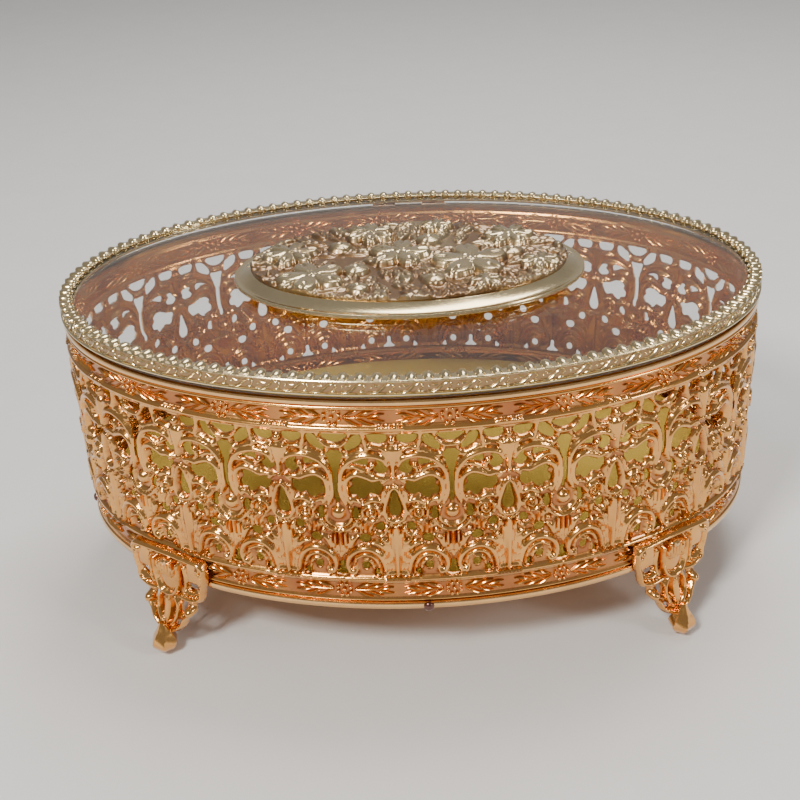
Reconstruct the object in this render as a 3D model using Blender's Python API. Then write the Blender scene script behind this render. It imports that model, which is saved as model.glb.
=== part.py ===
"""Footed oval vanity box: a pierced side band on four feet, and a hinged glass lid with a floral medallion.

Frame: metres, +Z up, origin on the table under the middle of the box, front towards -Y, hinge towards +Y.
"""

import math
from bisect import bisect_left

import bmesh
import bpy
from mathutils import Matrix, Vector
from mathutils.geometry import delaunay_2d_cdt

MM = 0.001

# Driving sizes of the oval: every ring and plate is an offset from the band's outer face.
BAND_HALF_LENGTH = 114.0 * MM
BAND_HALF_WIDTH = 76.8 * MM
LID_OVERHANG = 1.0 * MM
OVAL_MIDDLE_Y = -2.7 * MM
GAP = 0.3 * MM
SHEET = 0.9 * MM
RIM_PROUD = 0.7 * MM
RIM_DEPTH = 1.9 * MM

# Heights above the table.
LOWER_RIM_BOTTOM = 24.0 * MM
BAND_BOTTOM = 26.7 * MM
BAND_TOP = 94.7 * MM
UPPER_RIM_TOP = 97.0 * MM
LID_BOTTOM = 98.4 * MM
GLASS_BOTTOM = 99.9 * MM
GLASS_TOP = 102.7 * MM
GALLERY_TOP = 104.6 * MM
RELIEF_TOP = 111.0 * MM

# The stamped pattern: repeats round the oval, and how far its first palmette stands from the front centre.
PATTERN_UNITS = 18
PATTERN_SHIFT = -0.19
BENDS_PER_UNIT = 4

RING_STEPS = 60
PLATE_STEPS = 60
MEDALLION_STEPS = 40
ROUND_STEPS = 8
HINGE_STEPS = 20

# Fasteners.
SHANK_RADIUS = 0.8 * MM
BASE_SHANK_RADIUS = 0.45 * MM
RIVET_HEAD_RADIUS = 1.6 * MM
RIVET_HEAD_HEIGHT = 1.2 * MM
RIVET_TAIL_FLARE = 0.6 * MM
RIVET_TAIL_HEIGHT = 0.8 * MM
BASE_RIVET_HEIGHT = 25.2 * MM
FOOT_RIVET_HEIGHT = 31.2 * MM
FRONT_RIVET_SHIFT = 2.4 * MM
SIDE_RIVET_SHIFT = 9.0 * MM

# Base pan and its lining.
PAN_THICKNESS = 0.8 * MM
PAN_FLANGE_BOTTOM = 24.2 * MM
PAN_TOP = 28.0 * MM
BOARD_THICKNESS = 1.2 * MM
PAD_TOP = 34.4 * MM
LINING_INSET = 6.0 * MM

# Feet.
FOOT_TURN = math.radians(46.0)
FOOT_THICKNESS = 2.0 * MM
FOOT_FLARE = 6.4 * MM
FLARE_START = 24.0 * MM
FOOT_STANDOFF = RIM_PROUD + GAP
FOOT_ENDS = 3.5 * MM

# Hinge.
PIN_RADIUS = 1.0 * MM
BARREL_HOLE_RADIUS = 1.1 * MM
BARREL_RADIUS = 2.0 * MM
HINGE_AXIS = Vector((0, BAND_HALF_WIDTH + 4.4 * MM, 97.7 * MM))
LEAF_HALF_LENGTH = 14.0 * MM
CENTRE_KNUCKLE_HALF = 4.9 * MM
LEAF_THICKNESS = 0.8 * MM
HINGE_RIVET_X = 9.5 * MM
HINGE_RIVET_HEIGHT = 88.6 * MM

# Medallion on the glass.
TRAY_HALF_LENGTH = 57.8 * MM
TRAY_HALF_WIDTH = 38.2 * MM

FINISHES = {
    "gilt": ((0.93, 0.62, 0.24), 0.22, 1.0),
    "pale_gilt": ((0.90, 0.78, 0.48), 0.25, 1.0),
    "dark_rivet": ((0.20, 0.09, 0.06), 0.35, 1.0),
    "glass": ((0.92, 0.95, 0.93), 0.03, 0.0),
    "velvet": ((0.55, 0.40, 0.10), 0.95, 0.0),
    "card": ((0.45, 0.38, 0.28), 0.9, 0.0),
    "adhesive": ((0.80, 0.78, 0.70), 0.7, 0.0),
}


def clear_scene():
    """Remove whatever the scene already holds."""
    for old in list(bpy.data.objects):
        bpy.data.objects.remove(old, do_unlink=True)


def material(finish):
    """The Principled material of a named finish, made once."""
    if finish in bpy.data.materials:
        return bpy.data.materials[finish]
    colour, roughness, metallic = FINISHES[finish]
    made = bpy.data.materials.new(finish)
    made.use_nodes = True
    shader = made.node_tree.nodes["Principled BSDF"]
    shader.inputs["Base Color"].default_value = (*colour, 1.0)
    shader.inputs["Roughness"].default_value = roughness
    shader.inputs["Metallic"].default_value = metallic
    return made


def finish_object(name, bm, finish, parent=None):
    """Turn a bmesh whose vertices are in world metres into a named, shaded object."""
    bmesh.ops.recalc_face_normals(bm, faces=bm.faces)
    mesh = bpy.data.meshes.new(name)
    bm.to_mesh(mesh)
    bm.free()
    mesh.shade_smooth()
    mesh.set_sharp_from_angle(angle=math.radians(40))
    mesh.materials.append(material(finish))
    made = bpy.data.objects.new(name, mesh)
    bpy.context.scene.collection.objects.link(made)
    if parent is not None:
        mesh.transform(Matrix.Translation(-parent.location))
        made.parent = parent
    return made


def add_boolean(target, tool, operation):
    """Join or cut with a helper object, which stays out of renders."""
    tool.hide_render = True
    tool.display_type = "WIRE"
    modifier = target.modifiers.new(operation.title(), "BOOLEAN")
    modifier.operation = operation
    modifier.object = tool


# --- The oval ------------------------------------------------------------------------------------


def oval_point(offset, turn, height):
    """The point at an ellipse angle, on the oval that runs outside the band's face by offset."""
    return Vector(
        ((BAND_HALF_LENGTH + offset) * math.cos(turn), (BAND_HALF_WIDTH + offset) * math.sin(turn), height)
    )


def oval_normal(turn):
    """The level direction that points straight out of the band."""
    return Vector((math.cos(turn) / BAND_HALF_LENGTH, math.sin(turn) / BAND_HALF_WIDTH, 0)).normalized()


def oval_lengths(steps=3600):
    """Running lengths along the band, anticlockwise from the front centre, and the ellipse angles there."""
    turns = [-math.pi / 2 + 2 * math.pi * i / steps for i in range(steps + 1)]
    lengths = [0.0]
    for before, after in zip(turns, turns[1:]):
        lengths.append(lengths[-1] + (oval_point(0, after, 0) - oval_point(0, before, 0)).length)
    return lengths, turns


LENGTHS, TURNS = oval_lengths()
PERIMETER = LENGTHS[-1]
UNIT = PERIMETER / PATTERN_UNITS


def turn_at(length):
    """The ellipse angle at a running length along the band."""
    wrapped = length % PERIMETER
    after = max(1, bisect_left(LENGTHS, wrapped))
    share = (wrapped - LENGTHS[after - 1]) / (LENGTHS[after] - LENGTHS[after - 1])
    return TURNS[after - 1] + share * (TURNS[after] - TURNS[after - 1])


def length_at(turn):
    """The running length at an ellipse angle."""
    nearest = min(range(len(TURNS)), key=lambda i: abs(math.remainder(TURNS[i] - turn, 2 * math.pi)))
    return LENGTHS[nearest]


def on_band(length, height, depth):
    """A point on the band: along it, up it, and out of its face."""
    turn = turn_at(length)
    return oval_point(0, turn, height) + oval_normal(turn) * depth


# --- Solids --------------------------------------------------------------------------------------


def bridge(bm, first, second):
    """Quads between two loops of vertices with the same count."""
    for i in range(len(first)):
        j = (i + 1) % len(first)
        bm.faces.new((first[i], first[j], second[j], second[i]))


def oval_loft(name, sections, finish, steps, ring=False, parent=None):
    """A solid through ovals (half_length, half_width, height): capped at its ends, or closed as a ring."""
    bm = bmesh.new()
    loops = []
    for half_length, half_width, height in sections:
        angles = [2 * math.pi * i / steps for i in range(steps)]
        points = [(half_length * math.cos(a), half_width * math.sin(a), height) for a in angles]
        loops.append([bm.verts.new(point) for point in points])
    for first, second in zip(loops, loops[1:]):
        bridge(bm, first, second)
    if ring:
        bridge(bm, loops[-1], loops[0])
    else:
        bm.faces.new(loops[0])
        bm.faces.new(loops[-1])
    return finish_object(name, bm, finish, parent)


def band_ring(name, profile, finish, parent=None):
    """A ring with a closed profile of (offset from the band's face, height)."""
    sections = [(BAND_HALF_LENGTH + offset, BAND_HALF_WIDTH + offset, height) for offset, height in profile]
    return oval_loft(name, sections, finish, RING_STEPS, ring=True, parent=parent)


def turned(bm, profile, placement, steps):
    """Add a turned solid to a bmesh: profile is (radius, height) along local Z, with flat ends."""
    loops = []
    for radius, height in profile:
        angles = [2 * math.pi * i / steps for i in range(steps)]
        points = [Vector((radius * math.cos(a), radius * math.sin(a), height)) for a in angles]
        loops.append([bm.verts.new(placement @ point) for point in points])
    for first, second in zip(loops, loops[1:]):
        bridge(bm, first, second)
    bm.faces.new(loops[0])
    bm.faces.new(loops[-1])


def facing(origin, direction):
    """A placement whose local Z runs along direction."""
    return Matrix.Translation(origin) @ direction.to_track_quat("Z", "Y").to_matrix().to_4x4()


def inside(point, polygon):
    """Whether a flat point lies inside a polygon."""
    x, y = point
    found = False
    for (x0, y0), (x1, y1) in zip(polygon, polygon[1:] + polygon[:1]):
        if (y0 > y) != (y1 > y) and x < (x1 - x0) * (y - y0) / (y1 - y0) + x0:
            found = not found
    return found


def pierced_sheet(outline, openings, creases, place, thickness):
    """A bmesh of a flat pierced sheet laid on a surface: place(u, v, depth) gives the world point."""
    points, edges = [], []
    for loop in [outline, *openings]:
        start = len(points)
        points += [Vector(p) / MM for p in loop]
        edges += [(start + i, start + (i + 1) % len(loop)) for i in range(len(loop))]
    for crease in creases:
        edges.append((len(points), len(points) + 1))
        points += [Vector(p) / MM for p in crease]
    flat, _, faces, *_ = delaunay_2d_cdt(points, edges, [], 1, 1e-4)
    flat = [(p.x * MM, p.y * MM) for p in flat]
    kept = []
    for face in faces:
        middle = tuple(sum(flat[i][k] for i in face) / len(face) for k in range(2))
        if inside(middle, outline) and not any(inside(middle, hole) for hole in openings):
            kept.append(face)
    bm = bmesh.new()
    used = sorted({i for face in kept for i in face})
    front = {i: bm.verts.new(place(*flat[i], 0.0)) for i in used}
    back = {i: bm.verts.new(place(*flat[i], -thickness)) for i in used}
    sides = {}
    for face in kept:
        bm.faces.new([front[i] for i in face])
        bm.faces.new([back[i] for i in reversed(face)])
        for a, b in zip(face, face[1:] + face[:1]):
            sides[(a, b)] = (b, a) not in sides
            if not sides[(a, b)]:
                sides[(b, a)] = False
    for (a, b), open_edge in sides.items():
        if open_edge:
            bm.faces.new((front[b], front[a], back[a], back[b]))
    return bm


# --- Side band -----------------------------------------------------------------------------------


def mirrored(polygon):
    """The polygon on the other side of the pattern's upright axis."""
    return [(-u, v) for u, v in reversed(polygon)]


def palmette_openings():
    """The larger openings of one repeat, in millimetres across from its axis and up from the band's foot."""
    teardrop = [(0.0, 39.5), (-1.9, 33.0), (0.0, 30.4), (1.9, 33.0)]
    under_rail = [(3.2, 57.6), (7.6, 57.6), (7.6, 54.2), (4.2, 52.4)]
    beside_bell = [(2.4, 49.2), (12.2, 49.4), (8.0, 46.4), (4.6, 45.6)]
    under_scroll = [(4.6, 41.4), (9.6, 43.4), (13.0, 40.6), (12.2, 36.6), (5.6, 36.4)]
    beside_stem = [(3.6, 28.2), (6.4, 28.2), (6.2, 24.6), (3.8, 24.6)]
    pairs = [under_rail, beside_bell, under_scroll, beside_stem]
    return [teardrop] + pairs + [mirrored(polygon) for polygon in pairs]


def joint_opening():
    """The crescent under the rail, on the line where two repeats meet."""
    return [(-3.6, 58.0), (0.0, 55.2), (3.6, 58.0)]


def placed(polygon, centre):
    """A pattern opening in metres, with its axis at a running length."""
    return [(centre + u * MM, BAND_BOTTOM + v * MM) for u, v in polygon]


def side_band(name, first_unit, count):
    """One half of the stamped and pierced band, cut where two repeats meet."""
    start = (PATTERN_SHIFT + first_unit - 0.5) * UNIT
    end = start + count * UNIT
    openings = []
    for i in range(count):
        centre = start + (i + 0.5) * UNIT
        openings += [placed(polygon, centre) for polygon in palmette_openings()]
        if i:
            openings.append(placed(joint_opening(), start + i * UNIT))
    bends = count * BENDS_PER_UNIT
    across = [start + (end - start) * i / bends for i in range(1, bends)]
    creases = [[(u, BAND_BOTTOM), (u, BAND_TOP)] for u in across]
    edge_gap = GAP / 2
    outline = [
        (start + edge_gap, BAND_BOTTOM),
        (end - edge_gap, BAND_BOTTOM),
        (end - edge_gap, BAND_TOP),
        (start + edge_gap, BAND_TOP),
    ]
    return finish_object(name, pierced_sheet(outline, openings, creases, on_band, SHEET), "gilt")


# --- Feet ----------------------------------------------------------------------------------------


def foot_outline():
    """The foot's flat outline in millimetres: across from its middle, up from the table."""
    right = [
        (2.8, FOOT_ENDS / MM),
        (3.6, 7.4),
        (6.4, 9.6),
        (7.8, 13.0),
        (7.4, 15.8),
        (5.4, 15.4),
        (4.4, 16.6),
        (6.0, 18.6),
        (11.6, 20.0),
        (13.4, 24.6),
        (15.4, 28.4),
        (14.8, 32.2),
        (12.2, 33.8),
        (9.6, 32.8),
        (5.0, 34.8),
    ]
    return right + [(0.0, 35.6)] + [(-u, v) for u, v in reversed(right)]


def foot_openings():
    """The slots, corner openings and lower loops of the foot."""
    slot = [(3.6, 21.0), (5.0, 21.6), (5.4, 25.4), (4.4, 28.0), (3.8, 25.0)]
    corner = [(7.8, 23.4), (10.8, 23.6), (10.2, 26.2)]
    loop = [(1.5, 9.6), (3.2, 9.8), (4.4, 12.4), (2.8, 15.4), (1.5, 14.8)]
    return [polygon for one in (slot, corner, loop) for polygon in (one, mirrored(one))]


def foot(name, turn):
    """One cast foot: a pierced plate that hugs the band, sweeps outwards and ends in a flat-soled bud."""
    centre = length_at(turn)
    outwards = oval_normal(turn)

    def place(across, height, depth):
        drop = max(0.0, FLARE_START - height) / FLARE_START
        surface = on_band(centre + across, height, FOOT_STANDOFF + FOOT_THICKNESS + depth)
        return surface + outwards * FOOT_FLARE * drop**1.5

    to_metres = [[(u * MM, v * MM) for u, v in loop] for loop in [foot_outline(), *foot_openings()]]
    levels = [6.0 * MM, 10.0 * MM, 14.0 * MM, 18.0 * MM, 22.0 * MM]
    creases = [[(-16 * MM, level), (16 * MM, level)] for level in levels]
    creases += [[(u * MM, 0.0), (u * MM, 36 * MM)] for u in (-9.0, -3.0, 3.0, 9.0)]
    bm = pierced_sheet(to_metres[0], to_metres[1:], creases, place, FOOT_THICKNESS)
    plate = finish_object(name, bm, "gilt")

    bud = bmesh.new()
    sole = place(0.0, 0.0, -FOOT_THICKNESS / 2)
    profile = [(2.6, 0.0), (4.2, 1.4), (4.8, 3.6), (4.0, 6.2), (2.2, 8.2)]
    toe = [(radius * MM, height * MM) for radius, height in profile]
    turned(bud, toe, Matrix.Translation(sole), ROUND_STEPS)
    add_boolean(plate, finish_object(name + "_bud", bud, "gilt"), "UNION")
    return plate


# --- Fasteners -----------------------------------------------------------------------------------


def rivet(name, seat, inwards, grip, finish, shank=SHANK_RADIUS):
    """A round-headed rivet: its head rests on seat, and its peened tail is beyond grip."""
    tail_start = grip + GAP
    profile = [
        (0.6 * MM, -RIVET_HEAD_HEIGHT),
        (1.3 * MM, -0.8 * MM),
        (RIVET_HEAD_RADIUS, 0.0),
        (shank, 0.0),
        (shank, tail_start),
        (shank + RIVET_TAIL_FLARE, tail_start),
        (shank, tail_start + RIVET_TAIL_HEIGHT),
    ]
    bm = bmesh.new()
    turned(bm, profile, facing(seat, inwards), ROUND_STEPS)
    return finish_object(name, bm, finish)


def rivet_places():
    """Each rivet's name, running length, height, seat depth out of the band, grip and finish."""
    quarter = PERIMETER / 4
    found = []
    grip = RIM_PROUD + RIM_DEPTH + GAP + PAN_THICKNESS
    for i, label in enumerate(("front", "right", "rear", "left")):
        length = i * quarter + (SIDE_RIVET_SHIFT if i % 2 else FRONT_RIVET_SHIFT)
        found.append((f"base_rivet_{label}", length, BASE_RIVET_HEIGHT, RIM_PROUD + GAP, grip, "dark_rivet"))
    seat = FOOT_STANDOFF + FOOT_THICKNESS + GAP
    for label, turn in foot_turns().items():
        found.append((f"foot_rivet_{label}", length_at(turn), FOOT_RIVET_HEIGHT, seat, seat + SHEET, "gilt"))
    return found


def foot_turns():
    """Where the four feet stand on the oval."""
    return {
        "front_right": -FOOT_TURN,
        "rear_right": FOOT_TURN,
        "rear_left": math.pi - FOOT_TURN,
        "front_left": math.pi + FOOT_TURN,
    }


def hole_cutter(name, holes):
    """One helper made of round cutters: each hole is (middle, direction, radius)."""
    reach = 6 * MM
    bm = bmesh.new()
    for middle, direction, radius in holes:
        turned(bm, [(radius, -reach), (radius, reach)], facing(middle, direction), ROUND_STEPS)
    return finish_object(name, bm, "gilt")


# --- Hinge ---------------------------------------------------------------------------------------


def along_x(profile, start, end):
    """A bmesh prism: a closed (y, z) profile extruded along X."""
    bm = bmesh.new()
    low = [bm.verts.new((start, y, z)) for y, z in profile]
    high = [bm.verts.new((end, y, z)) for y, z in profile]
    bridge(bm, low, high)
    bm.faces.new(low)
    bm.faces.new(high)
    return bm


def barrel_profile(radius):
    """A circle round the hinge axis as (y, z) points."""
    angles = [2 * math.pi * i / HINGE_STEPS for i in range(HINGE_STEPS)]
    return [(HINGE_AXIS.y + radius * math.cos(a), HINGE_AXIS.z + radius * math.sin(a)) for a in angles]


def hinge_bore(name):
    """The hole for the pin, right through every knuckle."""
    reach = LEAF_HALF_LENGTH + 2 * MM
    return finish_object(name, along_x(barrel_profile(BARREL_HOLE_RADIUS), -reach, reach), "gilt")


def hinge_leaf_body():
    """The leaf on the band: a plate that runs up and back to two outer knuckles."""
    face = BAND_HALF_WIDTH + GAP
    back = face + LEAF_THICKNESS
    plate = [
        (face, 82.6 * MM),
        (back, 82.6 * MM),
        (back, 92.6 * MM),
        (HINGE_AXIS.y + 0.4 * MM, 96.2 * MM),
        (HINGE_AXIS.y - 1.2 * MM, 97.0 * MM),
        (face + 0.9 * MM, 94.2 * MM),
        (face, 93.2 * MM),
    ]
    leaf = finish_object("hinge_leaf_body", along_x(plate, -LEAF_HALF_LENGTH, LEAF_HALF_LENGTH), "gilt")
    clear = CENTRE_KNUCKLE_HALF + GAP
    for label, start, end in (("left", -LEAF_HALF_LENGTH, -clear), ("right", clear, LEAF_HALF_LENGTH)):
        knuckle = along_x(barrel_profile(BARREL_RADIUS), start, end)
        add_boolean(leaf, finish_object(f"body_knuckle_{label}", knuckle, "gilt"), "UNION")
    window = [(face - 1 * MM, 93.6 * MM), (HINGE_AXIS.y + 4 * MM, 93.6 * MM)]
    window += [(HINGE_AXIS.y + 4 * MM, 101 * MM), (face - 1 * MM, 101 * MM)]
    add_boolean(leaf, finish_object("knuckle_window", along_x(window, -clear, clear), "gilt"), "DIFFERENCE")
    add_boolean(leaf, hinge_bore("body_leaf_bore"), "DIFFERENCE")
    return leaf


def hinge_leaf_lid(parent):
    """The leaf on the lid: a plate against the bezel with one middle knuckle."""
    face = BAND_HALF_WIDTH + LID_OVERHANG + GAP
    back = face + LEAF_THICKNESS
    plate = [(face, 98.7 * MM), (back, 98.7 * MM), (back, 102.3 * MM), (face, 102.3 * MM)]
    half = LEAF_HALF_LENGTH - 2 * MM
    leaf = finish_object("hinge_leaf_lid", along_x(plate, -half, half), "gilt", parent)
    web = [
        (face + 0.1 * MM, 98.8 * MM),
        (HINGE_AXIS.y - 1.6 * MM, 97.6 * MM),
        (HINGE_AXIS.y - 0.6 * MM, 99.3 * MM),
        (back - 0.1 * MM, 100.4 * MM),
    ]
    for label, profile in (("web", web), ("barrel", barrel_profile(BARREL_RADIUS))):
        tool = along_x(profile, -CENTRE_KNUCKLE_HALF, CENTRE_KNUCKLE_HALF)
        add_boolean(leaf, finish_object(f"lid_knuckle_{label}", tool, "gilt"), "UNION")
    add_boolean(leaf, hinge_bore("lid_leaf_bore"), "DIFFERENCE")
    return leaf


def hinge_pin():
    """The pin, with a small head on each end."""
    half = LEAF_HALF_LENGTH + GAP
    bm = bmesh.new()
    profile = [
        (0.9 * MM, -half - 1.0 * MM),
        (1.6 * MM, -half - 0.5 * MM),
        (1.6 * MM, -half),
        (PIN_RADIUS, -half),
        (PIN_RADIUS, half),
        (1.6 * MM, half),
        (1.6 * MM, half + 0.5 * MM),
        (0.9 * MM, half + 1.0 * MM),
    ]
    turned(bm, profile, facing(HINGE_AXIS, Vector((1, 0, 0))), HINGE_STEPS)
    return finish_object("hinge_pin", bm, "gilt")


# --- Rims, base and lid --------------------------------------------------------------------------


def rims():
    """The two half-round mouldings that finish the band's edges."""
    inner, outer, edge = -RIM_DEPTH, RIM_PROUD, 0.7 * MM
    lower_top = BAND_BOTTOM - GAP
    lower = [(inner, LOWER_RIM_BOTTOM), (0.0, LOWER_RIM_BOTTOM), (outer, LOWER_RIM_BOTTOM + edge)]
    lower += [(outer, lower_top - edge), (0.0, lower_top), (inner, lower_top)]
    lower_rim = band_ring("lower_rim", lower, "gilt")
    upper_bottom = BAND_TOP + GAP
    upper = [(inner, upper_bottom), (0.0, upper_bottom), (outer, upper_bottom + edge)]
    upper += [(outer, UPPER_RIM_TOP - edge), (0.0, UPPER_RIM_TOP), (inner, UPPER_RIM_TOP)]
    return lower_rim, band_ring("upper_rim", upper, "gilt")


def oval_size(offset):
    """Half length and half width of an oval offset from the band's face."""
    return BAND_HALF_LENGTH + offset, BAND_HALF_WIDTH + offset


def base_pan():
    """The plate that closes the bottom, with a flange turned down inside the lower rim."""
    outer, inner = oval_size(-RIM_DEPTH - GAP), oval_size(-RIM_DEPTH - GAP - PAN_THICKNESS)
    sections = [
        (*inner, PAN_TOP - PAN_THICKNESS),
        (*inner, PAN_FLANGE_BOTTOM),
        (*outer, PAN_FLANGE_BOTTOM),
        (*outer, PAN_TOP),
    ]
    return oval_loft("base_pan", sections, "gilt", PLATE_STEPS)


def lining():
    """The stiff board and the velvet pad that it carries."""
    board_bottom = PAN_TOP + GAP
    board_top = board_bottom + BOARD_THICKNESS
    size = oval_size(-LINING_INSET)
    oval_loft("pad_board", [(*size, board_bottom), (*size, board_top)], "card", PLATE_STEPS)
    pad_bottom = board_top + GAP
    crown = oval_size(-LINING_INSET - 2.4 * MM)
    sections = [
        (*size, pad_bottom),
        (*size, PAD_TOP - 1.8 * MM),
        (*oval_size(-LINING_INSET - 0.7 * MM), PAD_TOP - 0.6 * MM),
        (*crown, PAD_TOP),
    ]
    oval_loft("velvet_pad", sections, "velvet", PLATE_STEPS)


def lid(parent):
    """The bezel, the ring that carries the glass, the glass and the gallery that holds it down."""
    bezel_inner = LID_OVERHANG - 1.0 * MM
    bezel = [(bezel_inner, LID_BOTTOM), (LID_OVERHANG, LID_BOTTOM)]
    bezel += [(LID_OVERHANG, GLASS_TOP), (bezel_inner, GLASS_TOP)]
    band_ring("lid_bezel", bezel, "pale_gilt", parent)
    seat_top = GLASS_BOTTOM - GAP
    seat_bottom, seat_out, seat_in = seat_top - 0.8 * MM, bezel_inner - GAP, -3.6 * MM
    seat = [(seat_in, seat_bottom), (seat_out, seat_bottom), (seat_out, seat_top), (seat_in, seat_top)]
    band_ring("glass_seat_ring", seat, "pale_gilt", parent)
    gallery_bottom = GLASS_TOP + GAP
    gallery = [
        (-3.0 * MM, gallery_bottom),
        (0.7 * MM, gallery_bottom),
        (1.0 * MM, gallery_bottom + 0.4 * MM),
        (0.6 * MM, GALLERY_TOP - 0.3 * MM),
        (-0.4 * MM, GALLERY_TOP),
        (-2.4 * MM, gallery_bottom + 0.8 * MM),
    ]
    band_ring("gallery_ring", gallery, "pale_gilt", parent)
    edge, face = oval_size(seat_out), oval_size(seat_out - 0.6 * MM)
    sections = [(*edge, GLASS_BOTTOM), (*edge, GLASS_TOP - 0.5 * MM), (*face, GLASS_TOP)]
    oval_loft("glass_pane", sections, "glass", PLATE_STEPS, parent=parent)


def tray_size(inset):
    """Half length and half width of an oval inside the medallion's edge."""
    return TRAY_HALF_LENGTH - inset, TRAY_HALF_WIDTH - inset


def medallion(parent):
    """The bonded pad, the polished tray and the floral relief on the middle of the glass."""
    underside = GLASS_TOP + 3.0 * MM
    platform = underside + 1.0 * MM
    pad = tray_size(8.5 * MM)
    pad_sections = [(*pad, GLASS_TOP + GAP), (*pad, underside - GAP)]
    oval_loft("medallion_pad", pad_sections, "adhesive", MEDALLION_STEPS, parent=parent)
    tray_profile = [
        (7.0 * MM, underside),
        (3.4 * MM, GLASS_TOP + 0.5 * MM),
        (0.4 * MM, GLASS_TOP + 0.5 * MM),
        (0.0, GLASS_TOP + 1.1 * MM),
        (1.0 * MM, GLASS_TOP + 1.9 * MM),
        (5.8 * MM, platform),
    ]
    sections = [(*tray_size(inset), height) for inset, height in tray_profile]
    oval_loft("medallion_tray", sections, "pale_gilt", MEDALLION_STEPS, parent=parent)
    start = platform + GAP
    dome_height = RELIEF_TOP - start
    dome_profile = [(5.6 * MM, 0.0), (5.0 * MM, 0.25), (8.0 * MM, 0.6), (20.0 * MM, 1.0)]
    sections = [(*tray_size(inset), start + share * dome_height) for inset, share in dome_profile]
    oval_loft("medallion_relief", sections, "pale_gilt", MEDALLION_STEPS, parent=parent)


def main():
    """Build the box closed, with the lid's pieces parented to an empty on the hinge axis."""
    clear_scene()
    lid_pivot = bpy.data.objects.new("lid_pivot", None)
    lid_pivot.location = HINGE_AXIS
    bpy.context.scene.collection.objects.link(lid_pivot)

    half_units = PATTERN_UNITS // 2
    first_front = -(half_units // 2)
    front = side_band("side_band_front", first_front, half_units)
    rear = side_band("side_band_rear", first_front + half_units, half_units)
    lower_rim, _ = rims()
    pan = base_pan()
    lining()
    feet = {label: foot(f"foot_{label}", turn) for label, turn in foot_turns().items()}

    holes = []
    for name, length, height, seat_depth, grip, finish in rivet_places():
        seat = on_band(length, height, seat_depth)
        inwards = -oval_normal(turn_at(length))
        shank = BASE_SHANK_RADIUS if name.startswith("base") else SHANK_RADIUS
        rivet(name, seat, inwards, grip + GAP, finish, shank)
        holes.append((seat, inwards, shank + 0.8 * GAP))
    leaf = hinge_leaf_body()
    hinge_holes = []
    for label, x in (("left", -HINGE_RIVET_X), ("right", HINGE_RIVET_X)):
        seat = Vector((x, BAND_HALF_WIDTH + GAP + LEAF_THICKNESS + GAP, HINGE_RIVET_HEIGHT))
        inwards = Vector((0, -1, 0))
        rivet(f"hinge_rivet_{label}", seat, inwards, LEAF_THICKNESS + 2 * GAP + SHEET + GAP, "gilt")
        hinge_holes.append((seat, inwards, SHANK_RADIUS + 0.8 * GAP))
    for target in (front, rear, lower_rim, pan, *feet.values()):
        add_boolean(target, hole_cutter(f"{target.name}_holes", holes), "DIFFERENCE")
    for target in (rear, leaf):
        cutter = hole_cutter(f"{target.name}_hinge_holes", hinge_holes)
        add_boolean(target, cutter, "DIFFERENCE")
    hinge_pin()
    hinge_leaf_lid(lid_pivot)
    lid(lid_pivot)
    medallion(lid_pivot)
    for made in bpy.data.objects:
        if made.parent is None:
            made.location.y += OVAL_MIDDLE_Y


main()
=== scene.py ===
"""Looks of a footed oval vanity box: pierced gilt band, hinged glass lid, floral medallion and velvet floor."""

import logging
import math
from dataclasses import dataclass, field
from enum import Enum
from functools import cached_property

import bpy
import numpy as np
from mathutils import Matrix, Quaternion, Vector


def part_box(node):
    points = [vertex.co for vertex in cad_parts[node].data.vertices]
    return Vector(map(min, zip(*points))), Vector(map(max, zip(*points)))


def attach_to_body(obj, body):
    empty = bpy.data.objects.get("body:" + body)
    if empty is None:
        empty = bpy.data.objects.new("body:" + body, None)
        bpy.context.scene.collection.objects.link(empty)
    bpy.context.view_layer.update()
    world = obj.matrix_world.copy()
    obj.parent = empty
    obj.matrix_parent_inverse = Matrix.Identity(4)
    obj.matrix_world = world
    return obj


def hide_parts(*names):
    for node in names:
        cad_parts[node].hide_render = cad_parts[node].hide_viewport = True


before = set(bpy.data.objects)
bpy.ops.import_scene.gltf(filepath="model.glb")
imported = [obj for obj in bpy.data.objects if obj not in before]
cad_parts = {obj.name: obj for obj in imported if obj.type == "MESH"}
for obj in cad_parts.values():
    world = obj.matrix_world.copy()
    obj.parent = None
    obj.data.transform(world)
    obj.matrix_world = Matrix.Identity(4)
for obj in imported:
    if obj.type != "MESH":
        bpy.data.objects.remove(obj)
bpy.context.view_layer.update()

MM = 0.001
WELD = 2e-6  # Distance in metres within which the walls of neighbouring tiles are joined
GAP_SHADE_RECESS = 2.2  # Recess value that paints shade on the ring points in the dark gaps between parts
BACK_RECESS = 0.6  # Recess value of a stamped sheet's back, which gives the back a fixed share of the painted shade
LOG = logging.getLogger("vanity_box")


class Body(Enum):
    """The two parts that move against each other."""

    CASE = "case"
    LID = "lid"


class Placing(Enum):
    """How a flat tile is set on the oval."""

    OUTWARD = "depth stands out of the band's face"
    UPWARD = "depth stands up, and the tile's height runs inwards"


# --- The oval ------------------------------------------------------------------------------------


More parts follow.
